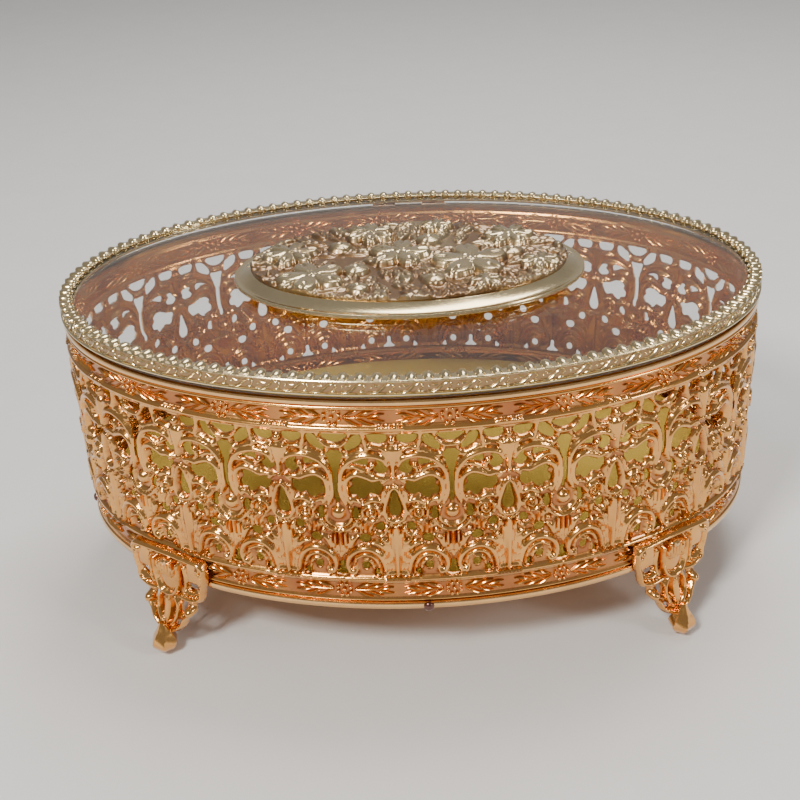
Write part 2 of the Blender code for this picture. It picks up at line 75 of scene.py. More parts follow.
@dataclass(frozen=True)
class Oval:
    """The plan of the box, in metres: every ring and sheet is an offset from the band's face."""

    half_length: float = 114.0 * MM
    half_width: float = 76.8 * MM
    middle_y: float = -2.7 * MM
    units: int = 18
    shift: float = -0.19

    @cached_property
    def table(self) -> tuple[np.ndarray, np.ndarray]:
        """Ellipse angles from the front centre anticlockwise, with the running length at each."""
        turns = np.linspace(-math.pi / 2, 1.5 * math.pi, 14401)
        points = np.stack([self.half_length * np.cos(turns), self.half_width * np.sin(turns)], axis=1)
        run = np.concatenate([[0.0], np.cumsum(np.linalg.norm(np.diff(points, axis=0), axis=1))])
        return turns, run

    def perimeter(self) -> float:
        """Length once round the band's face."""
        return float(self.table[1][-1])

    def unit(self) -> float:
        """Width of one repeat of the stamped pattern."""
        return self.perimeter() / self.units

    def length_at(self, turn: float) -> float:
        """Running length from the front centre at an ellipse angle."""
        turns, run = self.table
        return float(np.interp((turn + math.pi / 2) % (2 * math.pi) - math.pi / 2, turns, run))

    def bend(self, points: np.ndarray, length: float) -> np.ndarray:
        """Carry flat points onto the band's face.

        Args:
            points: Rows of (u, depth, height), in metres.
            length: Running length that u is counted from.

        Returns:
            The bent rows.
        """
        turns, run = self.table
        turn = np.interp((length + points[:, 0]) % run[-1], run, turns)
        out = np.stack([np.cos(turn) / self.half_length, np.sin(turn) / self.half_width], axis=1)
        out /= np.linalg.norm(out, axis=1, keepdims=True)
        x = self.half_length * np.cos(turn) + out[:, 0] * points[:, 1]
        y = self.half_width * np.sin(turn) + self.middle_y + out[:, 1] * points[:, 1]
        return np.stack([x, y, points[:, 2]], axis=1)

    def point(self, turn: float, offset: float, height: float) -> Vector:
        """A point on the oval that lies outside the face.

        Args:
            turn: Ellipse angle.
            offset: How far outside, in metres.
            height: Height of the point.

        Returns:
            The point.
        """
        x = (self.half_length + offset) * math.cos(turn)
        y = (self.half_width + offset) * math.sin(turn) + self.middle_y
        return Vector((x, y, height))

    def normal(self, turn: float) -> Vector:
        """The level direction straight out of the band."""
        return Vector((math.cos(turn) / self.half_length, math.sin(turn) / self.half_width, 0)).normalized()


OVAL = Oval()


# --- Meshes --------------------------------------------------------------------------------------

Points = list[tuple[float, ...]]


def circle(steps: int) -> list[float]:
    """Equal angles once round, from zero."""
    return [2 * math.pi * i / steps for i in range(steps)]


def oval_loops(profile: Points, steps: int, oval: Oval = OVAL) -> list[Points]:
    """One loop round an oval for each (offset, height) point, given in millimetres."""
    return [[tuple(oval.point(t, offset * MM, height * MM)) for t in circle(steps)] for offset, height in profile]


def smooth_path(points: Points, closed: bool = False, per_span: int = 6) -> np.ndarray:
    """A Catmull-Rom curve through points of any dimension.

    Args:
        points: The points to pass through.
        closed: Whether the curve returns to its start.
        per_span: Samples per span.

    Returns:
        The samples, one row each.
    """
    given = np.array(points, dtype=float)
    if closed:
        before, after = given[-1:], given[:2]
    else:
        before, after = 2 * given[:1] - given[1:2], 2 * given[-1:] - given[-2:-1]
    padded = np.concatenate([before, given, after])
    found = []
    for i in range(len(padded) - 3):
        p0, p1, p2, p3 = padded[i : i + 4]
        square, cube = 2 * p0 - 5 * p1 + 4 * p2 - p3, 3 * p1 - p0 - 3 * p2 + p3
        for t in np.arange(per_span) / per_span:
            found.append(0.5 * (2 * p1 + (p2 - p0) * t + square * t**2 + cube * t**3))
    if not closed:
        found.append(given[-1])
    return np.array(found)


@dataclass
class MeshParts:
    """Vertices and faces gathered from several closed shells."""

    points: Points = field(default_factory=list)
    faces: list[tuple[int, ...]] = field(default_factory=list)

    def add(self, points: Points, faces: list[tuple[int, ...]]) -> None:
        """Append one shell."""
        start = len(self.points)
        self.points += [tuple(float(c) for c in p) for p in points]
        self.faces += [tuple(start + i for i in f) for f in faces]

    def loops(self, loops: list[Points], capped: bool = True, ring: bool = False) -> None:
        """Append a shell through loops of equal count.

        Args:
            loops: Loops of points, each running anticlockwise seen from the last loop's side.
            capped: Whether the first and last loops are closed by a face.
            ring: Whether the last loop joins the first instead.
        """
        count = len(loops[0])
        points = [p for loop in loops for p in loop]
        faces = []
        pairs = list(zip(range(len(loops) - 1), range(1, len(loops))))
        if ring:
            pairs.append((len(loops) - 1, 0))
        for a, b in pairs:
            for i in range(count):
                j = (i + 1) % count
                faces.append((a * count + i, a * count + j, b * count + j, b * count + i))
        if capped and not ring:
            faces.append(tuple(reversed(range(count))))
            faces.append(tuple((len(loops) - 1) * count + i for i in range(count)))
        self.add(points, faces)

    def bead(self, u: float, v: float, radius: float, height: float, steps: int = 10) -> None:
        """Append a dome that stands along Y on the XZ plane, in millimetres.

        Args:
            u: Middle along X.
            v: Middle along Z.
            radius: Radius of its foot.
            height: How far it stands out.
            steps: Sides.
        """
        loops = []
        for share in (-0.35, 0.0, 0.45, 0.8):
            r = radius * math.sqrt(1 - max(share, 0.0) ** 2)
            loops.append([(u + r * math.cos(a), height * share, v + r * math.sin(a)) for a in circle(steps)])
        points = [p for loop in loops for p in loop] + [(u, height, v)]
        faces = []
        for a in range(0, 3 * steps, steps):
            for i, j in zip(range(steps), [*range(1, steps), 0]):
                faces.append((a + i, a + j, a + steps + j, a + steps + i))
        faces += [(3 * steps + i, 3 * steps + (i + 1) % steps, 4 * steps) for i in range(steps)]
        faces.append(tuple(reversed(range(steps))))
        self.add(points, faces)

    def strap(self, path: Points, height: float, sink: float = 0.15) -> None:
        """Append a half-round strap along (u, v, half width) points that stands out along Y, in millimetres.

        Args:
            path: Points of the strap's middle with its half width there.
            height: How far it stands out at its widest.
            sink: How far it goes into the surface.
        """
        curve = smooth_path(path, per_span=4)
        widest = max(curve[:, 2])
        across = (-1.0, -0.72, 0.0, 0.72, 1.0)
        rows = []
        for i, (u, v, w) in enumerate(curve):
            ahead = curve[min(i + 1, len(curve) - 1)][:2] - curve[max(i - 1, 0)][:2]
            ahead = ahead / max(float(np.linalg.norm(ahead)), 1e-9)
            side = np.array([-ahead[1], ahead[0]])
            lift = height * (0.35 + 0.65 * max(w, 0.02) / widest)
            row = [(u + side[0] * w * s, lift * math.sqrt(1 - s * s) * 0.98, v + side[1] * w * s) for s in across]
            row += [(u + side[0] * w, -sink, v + side[1] * w), (u - side[0] * w, -sink, v - side[1] * w)]
            rows.append(row)
        self.loops([list(reversed(row)) for row in rows])


def mesh_object(name: str, parts: MeshParts, crease: float = 45.0) -> bpy.types.Object:
    """A linked object from gathered shells, given in metres."""
    mesh = bpy.data.meshes.new(name)
    mesh.from_pydata(parts.points, [], parts.faces)
    mesh.validate()
    return linked(name, mesh, crease)


def flat_tile(name: str, parts: MeshParts) -> bpy.types.Object:
    """An unlinked tile from gathered shells, given in millimetres."""
    mesh = bpy.data.meshes.new(name)
    mesh.from_pydata([tuple(c * MM for c in p) for p in parts.points], [], parts.faces)
    return bpy.data.objects.new(name, mesh)


def point_rows(mesh: bpy.types.Mesh) -> np.ndarray:
    """A mesh's points, one row each."""
    flat = np.zeros(len(mesh.vertices) * 3)
    mesh.vertices.foreach_get("co", flat)
    return flat.reshape(-1, 3)


def place_points(mesh: bpy.types.Mesh, points: np.ndarray) -> None:
    """Set a tile's points for good, and drop the attribute that only the repeat needs."""
    mesh.vertices.foreach_set("co", points.astype(np.float32).ravel())
    mesh.attributes.remove(mesh.attributes["end_wall"])
    mesh.update()


def linked(name: str, mesh: bpy.types.Mesh, crease: float = 45.0) -> bpy.types.Object:
    """Smooth-shade a mesh and link it as an object.

    Args:
        name: The object's name.
        mesh: The mesh.
        crease: Angle in degrees past which an edge stays sharp.

    Returns:
        The object.
    """
    mesh.shade_smooth()
    mesh.set_sharp_from_angle(angle=math.radians(crease))
    made = bpy.data.objects.new(name, mesh)
    bpy.context.scene.collection.objects.link(made)
    return made


def ring_object(
    name: str, profile: Points, shaded: tuple[int, ...] = (), steps: int = 360, crease: float = 35.0
) -> bpy.types.Object:
    """A ring round the oval.

    Args:
        name: The object's name.
        profile: Closed (offset, height) points in millimetres, anticlockwise with outwards to the right.
        shaded: Numbers of the profile points that get painted shade, for the dark gaps between parts.
        steps: Segments round the oval.
        crease: Angle in degrees past which an edge is sharp.

    Returns:
        The ring.
    """
    parts = MeshParts()
    parts.loops(oval_loops(profile, steps), ring=True)
    made = mesh_object(name, parts, crease)
    # Painted shade: the shaded points get a high recess value, which darkens them.
    tint = made.data.attributes.new("recess", "FLOAT", "POINT")
    values = np.zeros((len(profile), steps), dtype=np.float32)
    values[list(shaded)] = GAP_SHADE_RECESS
    tint.data.foreach_set("value", values.ravel())
    return made


def plate_object(
    name: str, sections: Points, steps: int = 240, crease: float = 35.0, oval: Oval = OVAL
) -> bpy.types.Object:
    """A solid plate through ovals, capped at both ends.

    Args:
        name: The object's name.
        sections: (offset, height) of each oval, in millimetres.
        steps: Segments round it.
        crease: Angle in degrees past which an edge is sharp.
        oval: The oval that the offsets are counted from.

    Returns:
        The plate.
    """
    parts = MeshParts()
    parts.loops(oval_loops(sections, steps, oval))
    return mesh_object(name, parts, crease)


# --- Pierced and embossed sheet ------------------------------------------------------------------

WHOLE = (slice(None), slice(None))


class ReliefSheet:
    """A flat sheet on a fine grid, in millimetres, that is embossed with strokes and pierced with openings."""

    def __init__(self, left: float, right: float, low: float, high: float, pitch: float) -> None:
        """Lay out the grid, with an even number of columns.

        Args:
            left: Lowest u.
            right: Highest u.
            low: Lowest v.
            high: Highest v.
            pitch: Grid spacing aimed at.
        """
        self.columns = 2 * max(1, round((right - left) / pitch / 2))
        self.rows = max(1, round((high - low) / pitch))
        self.us = np.linspace(left, right, self.columns + 1)
        self.vs = np.linspace(low, high, self.rows + 1)
        self.u, self.v = np.meshgrid(self.us, self.vs)
        self.height = np.zeros_like(self.u)
        self.solid = np.full_like(self.u, 9.0)
        self.pitch = pitch
        # Height over which the low face darkens: the painted shade carried by the recess attribute.
        self.deep = 0.55

    def window(self, path: np.ndarray, reach: float) -> tuple[slice, slice]:
        """The part of the grid within reach of a path."""
        columns = np.searchsorted(self.us, [path[:, 0].min() - reach, path[:, 0].max() + reach])
        rows = np.searchsorted(self.vs, [path[:, 1].min() - reach, path[:, 1].max() + reach])
        return slice(max(rows[0] - 1, 0), rows[1] + 1), slice(max(columns[0] - 1, 0), columns[1] + 1)

    def share(self, path: np.ndarray, area: tuple[slice, slice]) -> np.ndarray:
        """Distance from a path as a share of its half width.

        Args:
            path: Rows of (u, v, half width).
            area: The part of the grid asked about.

        Returns:
            The share at each point of that part.
        """
        u, v = self.u[area], self.v[area]
        nearest = np.full_like(u, 1e3)
        for (u0, v0, w0), (u1, v1, w1) in zip(path, path[1:]):
            du, dv = u1 - u0, v1 - v0
            t = np.clip(((u - u0) * du + (v - v0) * dv) / max(du * du + dv * dv, 1e-12), 0, 1)
            distance = np.hypot(u - u0 - t * du, v - v0 - t * dv)
            nearest = np.minimum(nearest, distance / np.maximum(w0 + (w1 - w0) * t, 0.05))
        return nearest

    def near(self, path: Points, width: float, per_span: int = 6) -> tuple[tuple[slice, slice], np.ndarray]:
        """The part of the grid round a stroke, and each of its points' distance as a share of the half width."""
        curve = smooth_path([p if len(p) == 3 else (*p, width) for p in path], per_span=per_span)
        area = self.window(curve, float(curve[:, 2].max()))
        return area, self.share(curve, area)

    def lift(self, area: tuple[slice, slice], share: np.ndarray, height: float, base: float = 0.0) -> None:
        """Raise a round top where a share of the half width is under one."""
        lifted = base + height * np.sqrt(np.clip(1 - share**2, 0, 1))
        self.height[area] = np.where(share < 1, np.maximum(self.height[area], lifted), self.height[area])

    def ridge(self, path: Points, height: float, width: float = 0.0, base: float = 0.0) -> None:
        """Raise a round-topped stroke.

        Args:
            path: (u, v) points, or (u, v, half width) points.
            height: How far the stroke stands above its base.
            width: Half width where the points give none.
            base: Height that the stroke stands on.
        """
        area, share = self.near(path, width)
        self.lift(area, share, height, base)

    def dome(self, u: float, v: float, radius: float, height: float, squash: float = 1.0) -> None:
        """Raise a round or oval dome."""
        self.lift(WHOLE, np.hypot(self.u - u, (self.v - v) / squash) / radius, height)

    def groove(self, path: Points, depth: float, width: float = 0.0) -> None:
        """Press a round-bottomed line in."""
        area, share = self.near(path, width, per_span=4)
        self.height[area] -= depth * np.clip(1 - share**2, 0, 1)

    def arc(self, u: float, v: float, radius: float, start: float, end: float, width: float, height: float) -> None:
        """Raise a stroke along a part of a circle, between angles in degrees."""
        turns = np.radians(np.linspace(start, end, max(5, int(abs(end - start) / 20))))
        self.ridge([(u + radius * math.cos(t), v + radius * math.sin(t)) for t in turns], height, width)

    def line(self, v: float, width: float, height: float) -> None:
        """Raise a straight moulding across the whole sheet."""
        self.lift(WHOLE, np.abs(self.v - v) / width, height)

    def signed(self, outline: Points) -> np.ndarray:
        """Distance to a smooth closed outline.

        Args:
            outline: The (u, v) points that it passes through.

        Returns:
            The distance at each grid point, negative inside.
        """
        curve = smooth_path(outline, closed=True)
        loop = np.concatenate([curve, curve[:1]])
        ones = np.concatenate([loop, np.ones((len(loop), 1))], axis=1)
        away = self.share(ones, WHOLE)
        inside = np.zeros_like(self.u, dtype=bool)
        for (u0, v0), (u1, v1) in zip(loop, loop[1:]):
            if v0 == v1:
                continue
            crosses = (v0 > self.v) != (v1 > self.v)
            inside ^= crosses & (self.u < u0 + (u1 - u0) * (self.v - v0) / (v1 - v0))
        return np.where(inside, -away, away)

    def opening(self, outline: Points) -> None:
        """Pierce a smooth closed outline."""
        self.solid = np.minimum(self.solid, self.signed(outline))

    def trim(self, outline: Points) -> None:
        """Keep only what is inside a smooth closed outline."""
        self.solid = np.minimum(self.solid, -self.signed(outline))

    def mirror(self) -> None:
        """Make the left half match the right half."""
        self.height = np.maximum(self.height, self.height[:, ::-1])
        self.solid = np.minimum(self.solid, self.solid[:, ::-1])

    def kept_cells(self) -> np.ndarray:
        """Which grid cells stay, with corner-to-corner touches filled.

        Returns:
            One flag per cell.
        """
        middle = (self.solid[:-1, :-1] + self.solid[1:, :-1] + self.solid[:-1, 1:] + self.solid[1:, 1:]) / 4
        kept = middle > 0
        half = self.columns // 2
        for _ in range(6):
            a, b, c, d = kept[:-1, :-1], kept[:-1, 1:], kept[1:, :-1], kept[1:, 1:]
            touch = (a & d & ~b & ~c) | (b & c & ~a & ~d)
            touch[:, :half] = False
            if not touch.any():
                break
            rows, columns = np.nonzero(touch)
            kept[rows, columns] = True
            kept[rows + 1, columns] = True
            kept[:, :half] = kept[:, half:][:, ::-1]
        return kept

    def tile(
        self,
        name: str,
        thickness: float,
        ground: float = 0.0,
        emboss: float = 0.75,
        edge_drop: float = 0.3,
        edge_width: float = 0.7,
    ) -> bpy.types.Object:
        """Turn the sheet into a closed mesh with X along u, Y out of the face and Z along v.

        Args:
            name: The object's name.
            thickness: Sheet thickness in millimetres.
            ground: Depth of the unraised face.
            emboss: Share of the relief that shows on the back.
            edge_drop: How far the face rounds over at its edges.
            edge_width: Width of that rounding.

        Returns:
            The unlinked tile, with "recess", its painted shade, on its points and "end_wall" on its faces.
        """
        kept = self.kept_cells()
        rows, columns = kept.shape
        padded = np.zeros((rows + 2, columns + 2), dtype=bool)
        padded[1:-1, 1:-1] = kept
        corners = padded[:-1, :-1].astype(int) + padded[1:, :-1] + padded[:-1, 1:] + padded[1:, 1:]
        border_u = np.zeros_like(corners, dtype=bool)
        border_u[:, 0] = border_u[:, -1] = True
        border_v = np.zeros_like(corners, dtype=bool)
        border_v[0, :] = border_v[-1, :] = True
        step_v, step_u = np.gradient(self.solid, self.vs, self.us)
        size = np.maximum(np.hypot(step_u, step_v), 0.3)
        limit = 0.7 * self.pitch
        move = np.clip(self.solid, -limit, limit)
        free = (corners > 0) & (corners < 4) & (np.abs(self.solid) < 1.4 * self.pitch)
        du = np.where(free & ~border_u, -move * step_u / size, 0.0)
        dv = np.where(free & ~border_v, -move * step_v / size, 0.0)
        rounding = np.clip(1 - np.maximum(self.solid, 0) / edge_width, 0, 1) ** 2
        face = ground + self.height - edge_drop * rounding
        back = ground + emboss * self.height - thickness + 0.4 * edge_drop * rounding
        # Painted shade: the lower the face, the higher its recess and the darker its plating.
        recess = np.clip(1 - self.height / self.deep, 0, 1)
        used = corners > 0
        index = np.full(used.shape, -1)
        index[used] = np.arange(used.sum())
        count = int(used.sum())
        u, v = (self.u + du)[used] * MM, (self.v + dv)[used] * MM
        front_points = np.stack([u, face[used] * MM, v], axis=1)
        back_points = np.stack([u, back[used] * MM, v], axis=1)
        r, c = np.nonzero(kept)
        a, b, d, e = index[r, c], index[r, c + 1], index[r + 1, c + 1], index[r + 1, c]
        faces = [np.stack([a, b, d, e], axis=1), np.stack([e, d, b, a], axis=1) + count]
        walls = [np.zeros(2 * len(r), dtype=int)]
        sides = (
            (~padded[:-2, 1:-1], index[:-1, :-1], index[:-1, 1:]),
            (~padded[2:, 1:-1], index[1:, 1:], index[1:, :-1]),
            (~padded[1:-1, :-2], index[1:, :-1], index[:-1, :-1]),
            (~padded[1:-1, 2:], index[:-1, 1:], index[1:, 1:]),
        )
        for which, (open_side, first, second) in enumerate(sides):
            rr, cc = np.nonzero(kept & open_side)
            p, q = first[rr, cc], second[rr, cc]
            faces.append(np.stack([q, p, p + count, q + count], axis=1))
            label = np.zeros(len(rr), dtype=int)
            if which == 2:
                label[cc == 0] = -1
            if which == 3:
                label[cc == columns - 1] = 1
            walls.append(label)
        mesh = bpy.data.meshes.new(name)
        mesh.from_pydata(np.concatenate([front_points, back_points]).tolist(), [], np.concatenate(faces).tolist())
        tint = mesh.attributes.new("recess", "FLOAT", "POINT")
        tint.data.foreach_set("value", np.concatenate([recess[used], np.full(count, BACK_RECESS)]).astype(np.float32))
        ends = mesh.attributes.new("end_wall", "INT", "FACE")
        ends.data.foreach_set("value", np.concatenate(walls).astype(np.int32))
        return bpy.data.objects.new(name, mesh)


# --- Geometry Nodes ------------------------------------------------------------------------------


class TreeBuilder:
    """A thin helper that adds and wires nodes."""

    def __init__(self, tree: bpy.types.NodeTree) -> None:
        """Hold the tree that is being built."""
        self.tree = tree

    def node(self, kind: str, inputs: dict | None = None, **settings: object) -> bpy.types.Node:
        """Add a node.

        Args:
            kind: The node's type name.
            inputs: Values or output sockets by input name or index.
            settings: Attributes set on the node first.

        Returns:
            The new node.
        """
        made = self.tree.nodes.new(kind)
        for key, value in settings.items():
            setattr(made, key, value)
        self.feed(made, inputs or {})
        return made

    def first(self, kind: str, inputs: dict | None = None, **settings: object) -> bpy.types.NodeSocket:
        """The first output of a new node."""
        return self.node(kind, inputs, **settings).outputs[0]

    def feed(self, node: bpy.types.Node, inputs: dict) -> None:
        """Link or set inputs of a node.

        Args:
            node: The node.
            inputs: Values or output sockets by input name or index.
        """
        for key, value in inputs.items():
            if isinstance(value, bpy.types.NodeSocket):
                self.tree.links.new(value, node.inputs[key])
            else:
                node.inputs[key].default_value = value

    def math(self, operation: str, first: object, second: object = 0.0) -> bpy.types.NodeSocket:
        """A Math node's result."""
        return self.first("ShaderNodeMath", {0: first, 1: second}, operation=operation)

    def scaled(self, value: object, middle: float, scale: float) -> bpy.types.NodeSocket:
        """A value's distance from a middle, scaled."""
        return self.math("MULTIPLY", self.math("SUBTRACT", value, middle), scale)

    def mix(self, factor: object, first: object, second: object) -> bpy.types.NodeSocket:
        """The colour between two colours."""
        return self.node("ShaderNodeMix", {0: factor, 6: first, 7: second}, data_type="RGBA").outputs[2]

    def vector(self, operation: str, first: object, second: object) -> bpy.types.NodeSocket:
        """A Vector Math node's vector result."""
        return self.first("ShaderNodeVectorMath", {0: first, 1: second}, operation=operation)

    def noise(self, scale: float, detail: float) -> bpy.types.NodeSocket:
        """A noise texture's value in object coordinates."""
        where = self.node("ShaderNodeTexCoord").outputs["Object"]
        return self.first("ShaderNodeTexNoise", {"Vector": where, "Scale": scale, "Detail": detail})


def declare(tree: bpy.types.NodeTree, way: str, sockets: dict[str, str]) -> None:
    """Declare a group's sockets, given as name and type without "NodeSocket"."""
    for name, kind in sockets.items():
        tree.interface.new_socket(name, in_out=way, socket_type="NodeSocket" + kind)


class OvalRepeat:
    """The Geometry Nodes tree that lays copies of a flat tile round the oval."""

    SOCKETS = dict(Tile="Object", Count="Int", First="Float", Pitch="Float", Upward="Float", Finish="Material")

    def __init__(self) -> None:
        """Build the tree."""
        self.tree = bpy.data.node_groups.new("OvalRepeat", "GeometryNodeTree")
        declare(self.tree, "INPUT", {"Geometry": "Geometry", **self.SOCKETS})
        declare(self.tree, "OUTPUT", {"Geometry": "Geometry"})
        build = TreeBuilder(self.tree)
        given = build.node("NodeGroupInput").outputs
        start = build.first("ShaderNodeCombineXYZ", {"X": given["First"]})
        step = build.first("ShaderNodeCombineXYZ", {"X": given["Pitch"]})
        shape = {"Count": given["Count"], "Start Location": start, "Offset": step}
        line = build.first("GeometryNodeMeshLine", shape, mode="OFFSET")
        number = {"Geometry": line, "Name": "which", "Value": build.first("GeometryNodeInputIndex")}
        line = build.first("GeometryNodeStoreNamedAttribute", number, data_type="INT", domain="POINT")
        tile = build.node("GeometryNodeObjectInfo", {"Object": given["Tile"]}).outputs["Geometry"]
        copies = build.first("GeometryNodeInstanceOnPoints", {"Points": line, "Instance": tile})
        real = build.first("GeometryNodeRealizeInstances", {"Geometry": copies})
        joined = self.join(build, given["Count"], real)
        smooth = build.first("GeometryNodeSetShadeSmooth", {"Geometry": self.wrap(build, given["Upward"], joined)})
        whole = build.first("GeometryNodeRealizeInstances", {"Geometry": smooth})
        dressed = build.first("GeometryNodeSetMaterial", {"Geometry": whole, "Material": given["Finish"]})
        build.node("NodeGroupOutput", {"Geometry": dressed})

    @staticmethod
    def join(build: TreeBuilder, count: bpy.types.NodeSocket, tiles: bpy.types.NodeSocket) -> bpy.types.NodeSocket:
        """Take out the end walls between neighbours and weld the tiles into one sheet.

        Args:
            build: The tree's builder.
            count: Number of tiles.
            tiles: The flat tiles in a row.

        Returns:
            The joined geometry.
        """
        which = build.first("GeometryNodeInputNamedAttribute", {"Name": "which"}, data_type="INT")
        wall = build.first("GeometryNodeInputNamedAttribute", {"Name": "end_wall"}, data_type="INT")
        last = build.math("SUBTRACT", count, 1.5)
        left = build.math("MULTIPLY", build.math("LESS_THAN", wall, -0.5), build.math("GREATER_THAN", which, 0.5))
        right = build.math("MULTIPLY", build.math("GREATER_THAN", wall, 0.5), build.math("LESS_THAN", which, last))
        inner = build.math("GREATER_THAN", build.math("ADD", left, right), 0.5)
        unwanted = {"Geometry": tiles, "Selection": inner}
        opened = build.first("GeometryNodeDeleteGeometry", unwanted, domain="FACE", mode="ALL")
        return build.first("GeometryNodeMergeByDistance", {"Geometry": opened, "Distance": WELD})

    @staticmethod
    def wrap(build: TreeBuilder, upward: bpy.types.NodeSocket, sheet: bpy.types.NodeSocket) -> bpy.types.NodeSocket:
        """Bend flat points onto the oval.

        Args:
            build: The tree's builder.
            upward: One where the tile's depth stands up, or zero.
            sheet: The flat geometry.

        Returns:
            The wrapped geometry.
        """
        ring = build.first("GeometryNodeCurvePrimitiveCircle", {"Resolution": 1440, "Radius": 1.0})
        size = (OVAL.half_length, OVAL.half_width, 1.0)
        oval = build.first("GeometryNodeTransform", {"Geometry": ring, "Scale": size})
        around = build.first("GeometryNodeCurveLength", {"Curve": oval})
        x, y, z = build.node("ShaderNodeSeparateXYZ", {0: build.first("GeometryNodeInputPosition")}).outputs
        share = build.math("FRACT", build.math("ADD", build.math("DIVIDE", x, around), 0.75))
        spot = {"Curves": oval, "Length": build.math("MULTIPLY", share, around)}
        sample = build.node("GeometryNodeSampleCurve", spot, mode="LENGTH", data_type="FLOAT").outputs
        side = build.vector("CROSS_PRODUCT", sample["Tangent"], (0.0, 0.0, 1.0))
        out = build.vector("NORMALIZE", side, (0.0, 0.0, 0.0))
        flat = build.math("SUBTRACT", 1.0, upward)
        outwards = build.math("SUBTRACT", build.math("MULTIPLY", flat, y), build.math("MULTIPLY", upward, z))
        upwards = build.math("ADD", build.math("MULTIPLY", flat, z), build.math("MULTIPLY", upward, y))
        scaled = build.first("ShaderNodeVectorMath", {0: out, "Scale": outwards}, operation="SCALE")
        rise = build.first("ShaderNodeCombineXYZ", {"Y": OVAL.middle_y, "Z": upwards})
        there = build.vector("ADD", build.vector("ADD", sample["Position"], scaled), rise)
        return build.first("GeometryNodeSetPosition", {"Geometry": sheet, "Position": there})

    def lay(
        self,
        name: str,
        tile: bpy.types.Object,
        finish: bpy.types.Material,
        count: int,
        first: float,
        pitch: float,
        placing: Placing = Placing.OUTWARD,
        crease: float = 50.0,
        lift: float = 0.0,
    ) -> bpy.types.Object:
        """Repeat a tile round the oval and return the result as a plain mesh object.

        Args:
            name: The piece's name.
            tile: The flat tile, which stays unlinked afterwards.
            finish: The material set by the tree.
            count: Number of copies.
            first: Running length of the first tile's middle, in metres.
            pitch: Running length from one copy to the next, in metres.
            placing: How the tile stands on the oval.
            crease: Angle in degrees past which an edge is sharp.
            lift: Height added afterwards, for an upward tile, in metres.

        Returns:
            The piece.
        """
        carrier = bpy.data.objects.new(name + "_carrier", bpy.data.meshes.new(name + "_carrier"))
        for piece in (tile, carrier):
            bpy.context.scene.collection.objects.link(piece)
        live = carrier.modifiers.new("Repeat", "NODES")
        live.node_group = self.tree
        upward = 1.0 if placing is Placing.UPWARD else 0.0
        values = dict(zip(self.SOCKETS, (tile, count, first, pitch, upward, finish)))
        for item in self.tree.interface.items_tree:
            if item.in_out == "INPUT" and item.name in values:
                live[item.identifier] = values[item.name]
        carrier.update_tag()
        graph = bpy.context.evaluated_depsgraph_get()
        mesh = bpy.data.meshes.new_from_object(carrier.evaluated_get(graph), depsgraph=graph)
        bpy.data.objects.remove(carrier)
        bpy.context.scene.collection.objects.unlink(tile)
        mesh.name = name
        if lift:
            mesh.transform(Matrix.Translation((0, 0, lift)))
        for extra in {"which", "end_wall"} & set(mesh.attributes.keys()):
            mesh.attributes.remove(mesh.attributes[extra])
        return linked(name, mesh, crease)


# --- Finishes ------------------------------------------------------------------------------------


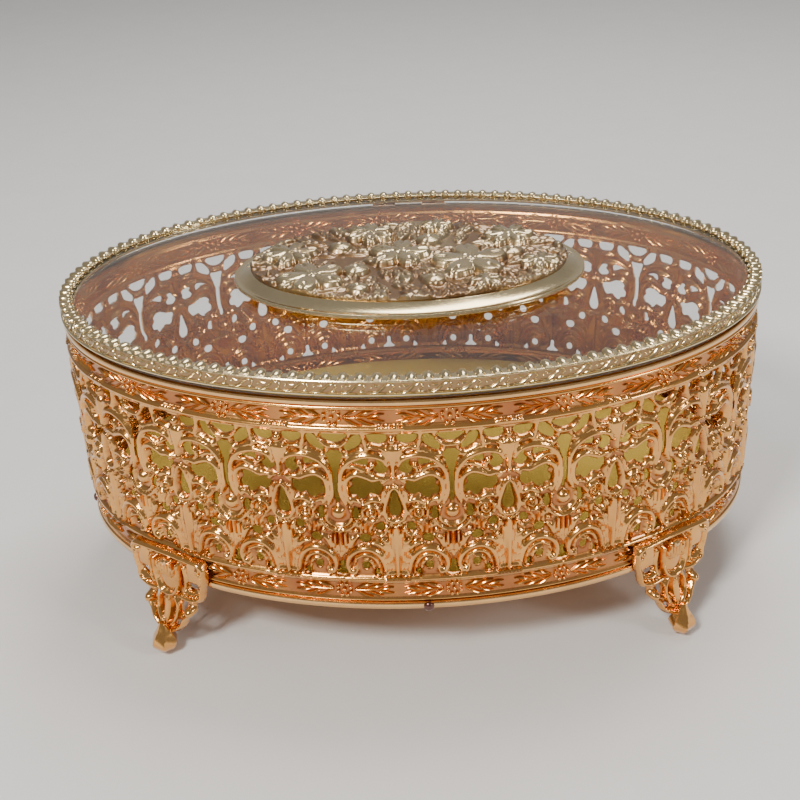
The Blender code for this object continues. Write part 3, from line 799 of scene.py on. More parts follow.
class ShadeGroups:
    """Shader node groups that several finishes share."""

    def __init__(self) -> None:
        """Build each group once."""
        self.plating = self.plating_group()
        self.pile = self.pile_group()

    @staticmethod
    def start(name: str, inputs: dict[str, str], outputs: dict[str, str]) -> tuple[object, TreeBuilder, object]:
        """Open a shader group.

        Args:
            name: The group's name.
            inputs: Socket type by input name, without "NodeSocket".
            outputs: Socket type by output name, likewise.

        Returns:
            The group, its builder and its input sockets.
        """
        group = bpy.data.node_groups.new(name, "ShaderNodeTree")
        declare(group, "INPUT", inputs)
        declare(group, "OUTPUT", outputs)
        build = TreeBuilder(group)
        return group, build, build.node("NodeGroupInput").outputs

    def plating_group(self) -> bpy.types.NodeTree:
        """Tone drift, painted shade in the recesses that leaves the high spots lighter, dark specks and a fine cast
        grain.

        Returns:
            The group.
        """
        inputs = {"Colour": "Color", "Tone And Shade": "Color", "Recess": "Float", "Roughness": "Float", "Tone And Shade Amount": "Float"}
        outputs = {"Colour": "Color", "Roughness": "Float", "Height": "Float"}
        group, build, given = self.start("GiltTone", inputs, outputs)
        patches, grain = build.noise(60.0, 4.0), build.noise(900.0, 3.0)
        where = build.node("ShaderNodeTexCoord").outputs["Object"]
        specks = build.node("ShaderNodeTexVoronoi", {"Vector": where, "Scale": 420.0})
        drift = build.scaled(patches, 0.42, 1.3)
        spots = build.math("LESS_THAN", specks.outputs["Distance"], 0.07)
        # Painted shade: the recess attribute pulls the colour towards the darker one, along with the random drift.
        sum_up = build.math("ADD", build.math("MULTIPLY", given["Recess"], 0.75), drift)
        tone = build.math("MULTIPLY", sum_up, given["Tone And Shade Amount"])
        tone = build.math("ADD", tone, build.math("MULTIPLY", spots, 0.25))
        amount = build.first("ShaderNodeClamp", {"Value": tone, "Max": 0.9})
        rough = build.math("ADD", given["Roughness"], build.math("MULTIPLY", amount, 0.22))
        rough = build.math("ADD", rough, build.scaled(grain, 0.5, 0.12))
        height = build.math("ADD", grain, build.math("MULTIPLY", patches, 0.6))
        colour = build.mix(amount, given["Colour"], given["Tone And Shade"])
        build.node("NodeGroupOutput", {"Colour": colour, "Roughness": rough, "Height": height})
        return group

    def pile_group(self) -> bpy.types.NodeTree:
        """Short pile: fine fibres, brushed patches and a slow drift of shade.

        Returns:
            The group.
        """
        inputs, outputs = {"Colour": "Color", "Shadow": "Color"}, {"Colour": "Color", "Height": "Float"}
        group, build, given = self.start("Pile", inputs, outputs)
        fibre, brushed = build.noise(1400.0, 2.0), build.noise(28.0, 5.0)
        mixed = build.math("ADD", build.math("MULTIPLY", fibre, 0.55), build.math("MULTIPLY", brushed, 0.55))
        colour = build.mix(mixed, given["Shadow"], given["Colour"])
        build.node("NodeGroupOutput", {"Colour": colour, "Height": fibre})
        return group


def new_material(name: str) -> tuple[bpy.types.Material, TreeBuilder, bpy.types.Node]:
    """A material with its builder and its shader."""
    made = bpy.data.materials.new(name)
    made.use_nodes = True
    return made, TreeBuilder(made.node_tree), made.node_tree.nodes["Principled BSDF"]


def opaque(*colour: float) -> tuple[float, ...]:
    """A colour with its alpha."""
    return (*colour, 1.0)


@dataclass(frozen=True)
class Plating:
    """A plated or bare metal finish under a thin lacquer."""

    name: str
    colour: tuple[float, float, float]
    tone_and_shade: tuple[float, float, float]
    roughness: float
    tone_and_shade_amount: float
    grain: float = 0.06
    lacquer: float = 0.85

    def material(self, groups: ShadeGroups) -> bpy.types.Material:
        """Build the material.

        Args:
            groups: The shared shader groups.

        Returns:
            The finished material.
        """
        made, build, shader = new_material(self.name)
        # The recess attribute paints shade into hollows and into the gaps between parts.
        inputs = {
            "Recess": build.node("ShaderNodeAttribute", attribute_name="recess").outputs["Fac"],
            "Colour": opaque(*self.colour),
            "Tone And Shade": opaque(*self.tone_and_shade),
            "Roughness": self.roughness,
            "Tone And Shade Amount": self.tone_and_shade_amount,
        }
        tone = build.node("ShaderNodeGroup", inputs, node_tree=groups.plating).outputs
        bump = build.first("ShaderNodeBump", {"Strength": self.grain, "Distance": 0.0004, "Height": tone["Height"]})
        build.feed(shader, {"Base Color": tone["Colour"], "Roughness": tone["Roughness"], "Normal": bump})
        build.feed(shader, {"Metallic": 1.0, "Coat Weight": self.lacquer, "Coat Roughness": 0.08})
        return made


@dataclass(frozen=True)
class Velvet:
    """A short-pile fabric finish."""

    name: str
    colour: tuple[float, float, float]
    shadow: tuple[float, float, float]

    def material(self, groups: ShadeGroups) -> bpy.types.Material:
        """Build the material.

        Args:
            groups: The shared shader groups.

        Returns:
            The finished material.
        """
        made, build, shader = new_material(self.name)
        inputs = {"Colour": opaque(*self.colour), "Shadow": opaque(*self.shadow)}
        pile = build.node("ShaderNodeGroup", inputs, node_tree=groups.pile).outputs
        bump = build.first("ShaderNodeBump", {"Strength": 0.5, "Distance": 0.0006, "Height": pile["Height"]})
        build.feed(shader, {"Base Color": pile["Colour"], "Normal": bump, "Roughness": 0.95})
        sheen = {"Sheen Weight": 0.2, "Sheen Roughness": 0.4, "Sheen Tint": opaque(*self.colour)}
        build.feed(shader, sheen)
        return made


@dataclass(frozen=True)
class ClearGlass:
    """Polished clear glass that lets light through to what is under it."""

    name: str = "clear_glass"

    def material(self) -> bpy.types.Material:
        """Build the material.

        Returns:
            The finished material.
        """
        made, build, shader = new_material(self.name)
        wipe = build.noise(35.0, 6.0)
        rough = build.first("ShaderNodeClamp", {"Value": build.scaled(wipe, 0.35, 0.03)})
        tint = build.mix(wipe, opaque(0.96, 0.985, 0.975), opaque(0.985, 0.995, 0.99))
        build.feed(shader, {"Transmission Weight": 1.0, "IOR": 1.5, "Roughness": rough, "Base Color": tint})
        shadow = build.node("ShaderNodeLightPath").outputs["Is Shadow Ray"]
        clear = build.first("ShaderNodeBsdfTransparent", {"Color": opaque(0.9, 0.93, 0.92)})
        either = build.first("ShaderNodeMixShader", {0: shadow, 1: shader.outputs[0], 2: clear})
        build.feed(made.node_tree.nodes["Material Output"], {"Surface": either})
        return made


@dataclass(frozen=True)
class PlainStock:
    """A plain matt stock such as board, adhesive or paper, with a slight fibre."""

    name: str
    colour: tuple[float, float, float]
    dark: tuple[float, float, float]
    roughness: float = 0.85
    scale: float = 300.0
    detail: float = 5.0

    def material(self) -> bpy.types.Material:
        """Build the material.

        Returns:
            The finished material.
        """
        made, build, shader = new_material(self.name)
        mixed = build.mix(build.noise(self.scale, self.detail), opaque(*self.dark), opaque(*self.colour))
        build.feed(shader, {"Base Color": mixed, "Roughness": self.roughness})
        return made


@dataclass
class Finishes:
    """Every material of the box, built once."""

    groups: ShadeGroups

    def __post_init__(self) -> None:
        """Build the materials."""
        # warm is a redder gold than the plating's own colour: partly its colour, partly a painted reflection of red
        # surroundings. The second colours, deep and olive among them, serve both random tone and the painted shade
        # that the recess attribute mixes in.
        warm, deep = (0.86, 0.42, 0.10), (0.36, 0.085, 0.016)
        pale, olive = (0.86, 0.69, 0.38), (0.30, 0.16, 0.06)
        self.band = Plating("gilt_band", warm, deep, 0.15, 0.8).material(self.groups)
        # The rim's near-black second colour is the painted shade of the gap under the lid.
        self.rim = Plating("gilt_rim", (0.9, 0.52, 0.19), (0.05, 0.018, 0.008), 0.14, 0.5).material(self.groups)
        self.lid = Plating("pale_gilt", pale, olive, 0.17, 0.6).material(self.groups)
        # The relief's dark second colour and strong toning paint shade between the blossoms.
        self.relief = Plating("pale_gilt_relief", pale, (0.19, 0.08, 0.025), 0.2, 1.25).material(self.groups)
        self.foot = Plating("gilt_foot", warm, deep, 0.16, 0.5, grain=0.08).material(self.groups)
        self.rivet = Plating("dark_rivet", (0.16, 0.06, 0.045), (0.04, 0.015, 0.015), 0.3, 0.5).material(self.groups)
        self.pan = Plating("gilt_pan", (0.70, 0.36, 0.12), (0.32, 0.12, 0.04), 0.32, 0.6).material(self.groups)
        self.velvet = Velvet("olive_gold_velvet", (0.44, 0.29, 0.03), (0.20, 0.115, 0.012)).material(self.groups)
        self.glass = ClearGlass().material()
        self.board = PlainStock("floor_board", (0.42, 0.34, 0.24), (0.294, 0.238, 0.168)).material()
        self.bond = PlainStock("medallion_bond", (0.75, 0.72, 0.62), (0.525, 0.504, 0.434)).material()


def dress(piece: bpy.types.Object, finish: bpy.types.Material) -> bpy.types.Object:
    """Give a piece its only material."""
    piece.data.materials.clear()
    piece.data.materials.append(finish)
    return piece


def attach(piece: bpy.types.Object, body: Body, slot: str, *nodes: str) -> bpy.types.Object:
    """Tie a finished piece to its body and hide the CAD nodes that it stands for.

    Args:
        piece: The piece.
        body: The body that it moves with.
        slot: The record's material slot; not used.
        nodes: CAD nodes that it replaces.

    Returns:
        The piece.
    """
    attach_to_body(piece, body.value)
    if nodes:
        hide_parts(*nodes)
    LOG.info("%s: %d faces on %s", piece.name, len(piece.data.polygons), body.value)
    return piece


def gild(piece: bpy.types.Object, finish: bpy.types.Material, *nodes: str) -> None:
    """Dress a gilt piece of the case and tie it to its CAD nodes."""
    attach(dress(piece, finish), Body.CASE, "gilt", *nodes)


def gild_lid(piece: bpy.types.Object, finish: bpy.types.Material, *nodes: str) -> None:
    """Dress a pale gilt piece of the lid and tie it to its CAD nodes."""
    attach(dress(piece, finish), Body.LID, "pale_gilt", *nodes)


# --- The case ------------------------------------------------------------------------------------

Stroke = tuple[float, Points]

# Raised scrollwork of the right half of a repeat, as (height, (u, v, half width) points) in millimetres.
BAND_STROKES: list[Stroke] = [
    (1.3, [(8.2, 86.0, 0.9), (8.1, 84.3, 0.75), (7.6, 82.4, 0.8), (7.0, 81.0, 0.9)]),
    (1.5, [(0.0, 80.3, 0.6), (1.6, 80.3, 0.8), (3.4, 81.4, 0.75), (5.2, 81.7, 0.7), (6.8, 81.3, 0.8)]),
    (1.2, [(16.8, 81.6, 0.7), (14.6, 82.0, 0.7), (12.9, 83.5, 0.65), (12.1, 85.8, 0.5)]),
    (1.1, [(7.2, 80.6, 0.6), (9.6, 80.0, 0.7), (11.6, 79.0, 0.7), (13.6, 78.4, 0.8), (14.9, 79.6, 0.5)]),
    (1.0, [(14.9, 81.6, 0.5), (14.7, 79.6, 0.6), (14.9, 77.2, 0.7), (15.9, 74.6, 0.6)]),
    (1.9, [(0.0, 80.2, 2.2), (0.0, 78.6, 2.1), (0.0, 76.6, 1.3), (0.0, 75.0, 0.9), (0.0, 72.6, 0.8)]),
    (1.3, [(0.3, 76.6, 0.5), (1.8, 78.2, 0.7), (2.6, 79.6, 0.6), (3.1, 80.8, 0.4)]),
    (1.9, [
        (1.7, 75.6, 0.8), (3.0, 77.9, 1.0), (6.2, 78.9, 1.1), (9.4, 78.5, 1.1), (12.7, 76.8, 1.1), (15.0, 73.3, 1.1),
        (15.8, 69.0, 1.0), (15.4, 65.4, 0.9), (14.2, 62.2, 0.7),
    ]),
    (1.4, [(7.6, 73.4, 0.5), (9.6, 74.4, 0.9), (11.4, 75.2, 0.9), (13.2, 74.6, 0.4)]),
    (1.8, [
        (3.3, 69.9, 0.7), (2.4, 70.8, 0.8), (4.0, 71.4, 1.0), (6.0, 70.9, 1.1), (8.2, 71.9, 1.1), (11.0, 72.6, 1.2),
        (13.4, 71.0, 1.1), (14.2, 68.2, 1.0), (13.9, 65.0, 0.9), (12.6, 62.6, 0.7),
    ]),
    (1.4, [(5.4, 71.8, 0.5), (6.5, 72.9, 0.6), (6.8, 74.2, 0.6), (6.1, 75.2, 0.9)]),
    (1.3, [(4.2, 63.0, 0.4), (6.0, 63.6, 1.0), (7.8, 63.1, 0.9), (9.2, 62.2, 0.4)]),
    (1.3, [(9.6, 62.3, 0.4), (11.0, 63.2, 0.8), (12.6, 63.9, 0.8), (14.2, 63.6, 0.4)]),
    (1.1, [(2.0, 68.0, 0.4), (3.1, 66.4, 0.7), (3.4, 64.2, 0.7), (4.2, 62.4, 0.5)]),
    (1.4, [
        (0.0, 68.2, 0.7), (1.3, 66.6, 0.7), (2.1, 64.2, 0.7), (2.9, 61.6, 0.75), (3.1, 59.2, 0.8), (2.3, 57.0, 0.8),
        (0.0, 56.0, 0.8),
    ]),
    (1.0, [(0.0, 54.6, 0.5), (1.6, 55.0, 0.5), (3.0, 56.0, 0.4)]),
    (1.2, [(2.7, 53.2, 0.35), (3.5, 51.7, 0.55), (4.8, 51.2, 0.6), (6.3, 51.9, 0.35)]),
    (1.1, [(6.7, 55.4, 0.4), (7.6, 53.2, 0.6), (7.4, 51.2, 0.4)]),
    (1.2, [(9.1, 55.6, 0.35), (9.3, 53.8, 0.5), (9.0, 52.0, 0.35)]),
    (1.2, [(10.3, 55.8, 0.35), (10.6, 53.8, 0.5), (10.4, 51.8, 0.35)]),
    (1.2, [(11.3, 50.8, 0.35), (12.6, 49.6, 0.8), (13.4, 48.0, 0.8), (13.7, 46.4, 0.35)]),
    (1.5, [(16.8, 52.0, 0.5), (16.8, 48.6, 0.6), (16.8, 45.6, 0.6), (16.8, 42.0, 0.35)]),
    (1.4, [(15.4, 51.8, 0.4), (15.3, 49.0, 0.55), (15.7, 46.2, 0.5), (16.5, 43.6, 0.35)]),
    (1.2, [(14.1, 51.0, 0.35), (14.0, 48.8, 0.5), (14.6, 46.4, 0.5), (15.6, 44.4, 0.3)]),
    (1.9, [(0.0, 54.6, 0.5), (0.0, 52.6, 1.2), (0.0, 49.0, 1.2), (0.0, 44.0, 0.95), (0.0, 37.0, 0.75)]),
    (1.5, [(2.2, 53.9, 0.4), (1.9, 51.0, 0.75), (1.6, 46.0, 0.65), (1.2, 37.2, 0.5)]),
    (1.5, [(4.6, 50.2, 0.4), (3.2, 48.8, 0.8), (2.6, 45.0, 0.7), (2.0, 37.4, 0.5)]),
    (1.6, [(7.5, 48.8, 0.5), (5.4, 48.3, 0.95), (3.9, 46.3, 0.85), (3.2, 42.6, 0.7), (2.7, 37.2, 0.5)]),
    (1.8, [
        (3.4, 37.0, 0.5), (4.0, 41.2, 0.8), (5.4, 44.4, 1.0), (8.0, 46.3, 1.1), (11.2, 46.1, 1.1), (14.0, 43.9, 1.0),
        (15.1, 40.6, 0.9), (14.3, 37.9, 0.8),
    ]),
    (1.3, [(5.0, 37.0, 0.4), (5.6, 40.6, 0.6), (7.2, 43.4, 0.7), (9.8, 44.2, 0.7), (12.3, 42.9, 0.6)]),
    (1.3, [(12.3, 42.9, 0.6), (13.0, 40.6, 0.6), (12.2, 38.8, 0.5)]),
    (1.2, [(7.2, 37.0, 0.35), (7.2, 39.6, 0.5), (8.2, 41.9, 0.6), (10.2, 42.3, 0.5)]),
]

# What the press cut through there, as (u, v) outlines.
BAND_OPENINGS: list[Points] = [
    [(12.9, 85.6), (14.0, 83.6), (16.8, 82.5), (19.6, 83.6), (20.7, 85.6), (16.8, 85.8)],
    [(8.9, 84.9), (11.1, 84.8), (13.6, 81.9), (13.5, 79.7), (11.2, 80.5), (9.2, 82.2)],
    [(1.9, 85.4), (6.9, 85.4), (6.7, 83.2), (5.2, 82.4), (3.2, 82.3), (1.7, 83.2)],
    [(1.9, 75.2), (3.4, 76.8), (5.1, 76.6), (4.5, 75.4), (5.6, 73.8), (4.6, 72.5), (2.9, 72.3), (1.6, 73.4)],
    [(7.6, 74.9), (7.5, 76.9), (9.4, 77.2), (12.2, 75.9), (10.3, 75.7)],
    [
        (3.9, 69.3), (6.3, 69.7), (8.3, 70.7), (10.6, 71.0), (12.3, 69.6), (12.0, 68.3), (13.0, 66.8), (12.6, 65.0),
        (11.0, 64.6), (10.0, 63.3), (8.3, 64.2), (7.3, 65.3), (5.3, 64.8), (4.3, 65.6), (3.3, 67.6),
    ],
    [(14.5, 79.3), (16.8, 79.8), (19.1, 79.3), (18.5, 76.6), (17.5, 73.0), (16.1, 73.0), (15.1, 76.6)],
    [(16.2, 73.4), (17.4, 73.4), (17.5, 67.0), (17.3, 62.4), (16.3, 62.4), (16.1, 67.0)],
    [
        (0.0, 66.9), (0.7, 65.0), (1.3, 62.4), (1.8, 60.0), (1.3, 58.0), (0.0, 57.4), (-1.3, 58.0), (-1.8, 60.0),
        (-1.3, 62.4), (-0.7, 65.0),
    ],
    [(4.8, 55.3), (6.0, 54.1), (5.7, 52.6), (4.3, 52.3), (3.5, 53.4), (3.7, 54.9)],
    [(9.2, 51.0), (11.0, 50.4), (10.9, 48.6), (9.4, 47.9), (8.0, 48.9), (8.0, 50.3)],
    [(9.6, 41.2), (10.8, 40.4), (10.6, 38.7), (9.4, 38.3), (8.5, 39.2), (8.7, 40.6)],
    [(16.2, 41.0), (17.4, 41.0), (17.6, 38.6), (19.0, 36.6), (14.6, 36.6), (16.0, 38.6)],
    [(5.2, 36.6), (6.7, 36.4), (6.5, 38.6), (5.9, 38.2)],
    [(12.1, 60.6), (12.5, 58.6), (12.3, 56.9), (11.0, 57.0), (10.7, 58.6), (11.0, 60.4)],
]

# The right half of a foot: its outline from the top middle down, its raised work and its openings.
FOOT_OUTLINE: Points = [
    (0.0, 35.8), (5.0, 35.6), (10.5, 35.0), (14.2, 34.4), (15.3, 32.2), (15.2, 30.2), (14.8, 27.0), (13.9, 23.6),
    (13.4, 20.6), (12.2, 18.6), (10.0, 17.7), (10.2, 15.2), (8.8, 13.4), (7.4, 12.0), (6.7, 9.8), (5.4, 7.8),
    (3.0, 6.1), (0.0, 5.6),
]
FOOT_STROKES: list[Stroke] = [
    (2.1, [(0.0, 34.8, 0.9), (5.0, 34.6, 0.9), (9.6, 34.1, 0.9), (13.0, 33.5, 1.1), (14.5, 31.9, 1.1)]),
    (2.1, [(14.5, 31.9, 1.1), (14.0, 30.3, 0.9), (12.6, 30.2, 0.8), (12.1, 31.4, 0.8), (12.9, 32.0, 0.6)]),
    (2.0, [(14.3, 29.6, 0.7), (13.9, 26.8, 0.8), (13.0, 23.8, 0.9), (12.6, 21.0, 0.8), (11.8, 20.2, 0.6)]),
    (2.1, [(7.2, 22.3, 0.4), (9.2, 21.9, 0.7), (11.6, 22.5, 0.4)]),
    (1.7, [(6.9, 30.8, 0.5), (7.4, 27.4, 0.7), (7.2, 24.2, 0.7), (6.2, 21.4, 0.7)]),
    (2.4, [(4.6, 31.2, 0.6), (4.9, 27.4, 0.75), (4.3, 23.4, 0.85), (2.7, 20.3, 0.9), (0.0, 19.3, 0.9)]),
    (1.7, [(4.4, 19.5, 0.7), (8.4, 19.0, 0.8), (12.0, 19.9, 0.8)]),
    (2.4, [(0.0, 18.2, 0.7), (0.0, 15.4, 1.5), (0.0, 12.4, 1.5), (0.0, 9.4, 0.7)]),
    (2.0, [(2.9, 18.8, 0.7), (3.9, 16.0, 0.75), (3.7, 13.0, 0.75), (2.7, 10.4, 0.8), (0.8, 8.4, 0.9)]),
    (2.0, [(8.5, 13.8, 0.8), (7.3, 12.8, 0.8), (6.3, 11.6, 0.8), (5.5, 9.9, 0.9), (4.0, 8.4, 0.9)]),
    (1.9, [(4.0, 8.4, 0.9), (2.0, 7.2, 1.0), (0.0, 6.7, 1.0)]),
]
FOOT_OPENINGS: list[Points] = [
    [(8.1, 25.2), (11.2, 25.5), (11.3, 23.6), (8.6, 22.9)],
    [(5.7, 30.0), (6.3, 29.6), (6.5, 26.6), (6.0, 23.4), (5.0, 21.6), (5.4, 24.4), (5.7, 27.2)],
    [(2.2, 17.0), (2.9, 16.0), (2.9, 13.4), (2.1, 12.0), (1.8, 13.6), (1.9, 15.6)],
    [(5.0, 17.6), (6.4, 17.2), (6.4, 14.6), (5.2, 12.2), (4.7, 14.4)],
    [(2.8, 9.6), (4.4, 10.4), (4.9, 9.9), (3.4, 8.8)],
]


@dataclass
class FiligreeBand:
    """The pierced band of palmettes, scrolls and rosettes, stamped in six panels of three repeats."""

    repeat: OvalRepeat
    finishes: Finishes
    low: float = 26.7
    high: float = 94.7
    pitch: float = 0.44
    ground: float = -0.55
    thickness: float = 0.7

    def sheet(self) -> ReliefSheet:
        """Emboss and pierce one repeat.

        Returns:
            The sheet of one repeat.
        """
        half = OVAL.unit() / MM / 2
        sheet = ReliefSheet(-half, half, self.low, self.high, self.pitch)
        upper, lower = ((94.1, 0.7, 1.0), (87.4, 0.9, 1.5), (86.1, 0.5, 0.9)), ((35.3, 0.9, 1.5), (33.9, 0.45, 0.7))
        for moulding in (*upper, *lower, (27.4, 0.6, 0.8)):
            sheet.line(*moulding)
        for height, path in BAND_STROKES:
            sheet.ridge(path, height)
        sheet.ridge([(0.0, 82.5), (0.0, 81.2)], 1.1, 0.7)
        stem_buds = ((0.0, 83.6, 1.3, 1.7), (0.0, 71.2, 0.95, 1.8), (1.5, 71.0, 0.75, 1.4), (2.9, 53.9, 0.6, 1.0))
        side_buds = ((12.0, 52.6, 0.9, 1.4), (12.4, 54.9, 0.7, 1.2), (13.1, 38.0, 1.25, 1.9), (16.8, 58.9, 2.2, 2.0))
        for bud in stem_buds + side_buds:
            sheet.dome(*bud)
        for k in range(4):
            sheet.dome(1.1 * k, 35.4, 0.6, 2.0)
            sheet.dome(1.1 * k, 88.1, 0.55, 1.9)
        for path in (
            [(0.75, 53.5), (0.7, 48.0), (0.45, 38.0)],
            [(1.9, 52.6), (1.75, 48.0), (1.1, 38.0)],
            [(3.0, 48.0), (2.6, 44.0), (1.8, 38.0)],
            [(4.2, 46.4), (3.4, 43.0), (2.5, 38.0)],
        ):
            sheet.groove(path, 0.8, 0.42)
        rosette = (7.0, 59.3)
        for radius, width, height in ((2.6, 0.65, 1.9), (1.3, 0.5, 1.6)):
            sheet.arc(*rosette, radius, 0, 360, width, height)
        sheet.dome(*rosette, 0.65, 1.9)
        sheet.arc(16.8, 58.4, 4.1, 150, 390, 0.6, 1.3)
        sheet.arc(16.8, 58.4, 5.6, 165, 375, 0.7, 1.6)
        for turn in (190, 215, 240, 270):
            t = math.radians(turn)
            sheet.dome(16.8 + 6.6 * math.cos(t), 58.4 + 6.6 * math.sin(t), 0.75, 1.2)
        for outline in BAND_OPENINGS:
            sheet.opening(outline)
        sheet.mirror()
        return sheet

    def build(self) -> None:
        """Lay the six panels round the oval."""
        tile = self.sheet().tile("band_tile", self.thickness, ground=self.ground, edge_drop=0.35, edge_width=0.8)
        unit = OVAL.unit()
        places = ("front_left", "front_middle", "front_right", "rear_right", "rear_middle", "rear_left")
        for k, place in enumerate(places):
            first = (OVAL.shift - 4 + 3 * k) * unit
            panel = self.repeat.lay("band_" + place, tile, self.finishes.band, 3, first, unit, crease=70)
            nodes = {1: ("side_band_front",), 4: ("side_band_rear",)}.get(k, ())
            attach(panel, Body.CASE, "gilt", *nodes)
        bpy.data.objects.remove(tile)
        for name, v, size in (("rail_flowers_top", 91.0, 1.0), ("rail_flowers_bottom", 30.8, 0.92)):
            spray = self.spray(v, size)
            first = (OVAL.shift + 0.5) * unit
            piece = self.repeat.lay(name, spray, self.finishes.band, OVAL.units, first, unit)
            attach(piece, Body.CASE, "gilt")
            bpy.data.objects.remove(spray)

    def spray(self, v: float, size: float) -> bpy.types.Object:
        """One flower of beads with a leaf spray at each side, and the same pressed shape inside the sheet.

        Args:
            v: Height of its middle, in millimetres.
            size: Its size against the upper rail's flowers.

        Returns:
            The flat tile.
        """
        parts = MeshParts()
        parts.bead(0, v, 0.8 * size, 1.35)
        for k in range(8):
            turn = 2 * math.pi * (k + 0.5) / 8
            parts.bead(2.3 * size * math.cos(turn), v + 2.3 * size * math.sin(turn), 0.72 * size, 1.25, steps=9)
        for side in (-1, 1):
            parts.strap([(side * 3.6, v, 0.2), (side * 8.0, v + 0.1, 0.3), (side * 13.8, v, 0.12)], 0.6)
            for reach, rise, long in ((3.2, 2.4, 5.6), (6.6, 1.9, 5.4), (10.2, 0.95, 5.0)):
                for up in (-1, 1):
                    path = [
                        (side * reach, v + up * 0.3, 0.14),
                        (side * (reach + 0.35 * long), v + up * (0.3 + 0.45 * rise) * size, 0.5),
                        (side * (reach + 0.68 * long), v + up * (0.3 + 0.85 * rise) * size, 0.42),
                        (side * (reach + long), v + up * (0.2 + rise) * size, 0.1),
                    ]
                    parts.strap(path, 1.05)
        count = len(parts.points)
        outer = [(x, y + self.ground, z) for x, y, z in parts.points]
        inner = [(x, self.ground - self.thickness + 0.05 - 0.6 * y, z) for x, y, z in parts.points]
        parts.points = outer + inner
        parts.faces += [tuple(reversed([i + count for i in face])) for face in parts.faces]
        return flat_tile("spray", parts)


@dataclass
class CaseFrame:
    """Rims, floor pan, board and velvet floor of the case."""

    finishes: Finishes
    proud: float = 0.7
    depth: float = 1.9

    def build(self) -> None:
        """Build the rims and the soft floor, and dress the pan and board."""
        p, d = self.proud, self.depth
        upper = [(-d, 95.0), (0.1, 95.0), (0.5, 95.2), (p, 95.75), (p, 96.2), (0.45, 96.75), (-0.1, 97.0)]
        upper += [(-0.5, 96.96), (-d + 0.25, 96.9), (-d, 96.6)]
        # Points 7 to 9, the rim's top inside the gap under the lid, get painted shade.
        gild(ring_object("upper_rim_bead", upper, shaded=(7, 8, 9)), self.finishes.rim, "upper_rim")
        lower = [(-d, 24.25), (-d + 0.25, 24.0), (0.0, 24.0), (0.45, 24.25), (p, 24.8), (p, 25.6)]
        lower += [(0.45, 26.15), (0.0, 26.4), (-d, 26.4)]
        gild(ring_object("lower_rim_bead", lower), self.finishes.rim, "lower_rim")
        for node, finish in (("base_pan", self.finishes.pan), ("pad_board", self.finishes.board)):
            dress(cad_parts[node], finish)
        attach(dress(self.floor_pad(), self.finishes.velvet), Body.CASE, "velvet", "velvet_pad")

    def floor_pad(self) -> bpy.types.Object:
        """A crowned velvet pad: soft rolled edge, low crown and a slight unevenness, flat underneath.

        Returns:
            The pad.
        """
        low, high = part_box("velvet_pad")
        rim = [(0.9, 0.0), (0.25, 0.12), (0.0, 0.32), (0.12, 0.52), (0.6, 0.68), (1.6, 0.78), (3.2, 0.85)]
        rim += [(6.0, 0.9), (10.0, 0.935), (15.0, 0.96), (22.0, 0.975), (30.0, 0.985), (40.0, 0.99), (52.0, 0.995)]
        rim += [(62.0, 1.0), (68.5, 1.0)]
        parts = MeshParts()
        loops = []
        for inset, share in rim:
            loop = []
            for turn in circle(320):
                spot = OVAL.point(turn, -(6.0 + inset) * MM, 0)
                wave = 0.35 * math.sin(3 * turn + 0.7) + 0.3 * math.sin(7 * turn + 2.1) + 0.2 * math.sin(13 * turn)
                dip = wave * 0.03 * min(share, 1.0) * math.exp(-inset / 14) if share > 0.5 else 0.0
                height = low.z + (high.z - low.z) * min(share + dip - 0.012, 1.0) if share else low.z
                loop.append((spot.x, spot.y, height))
            loops.append(loop)
        parts.loops(loops)
        made = mesh_object("floor_pad", parts, crease=60)
        return made


CORNERS = (("front_left", -1, -1), ("front_right", 1, -1), ("rear_left", -1, 1), ("rear_right", 1, 1))


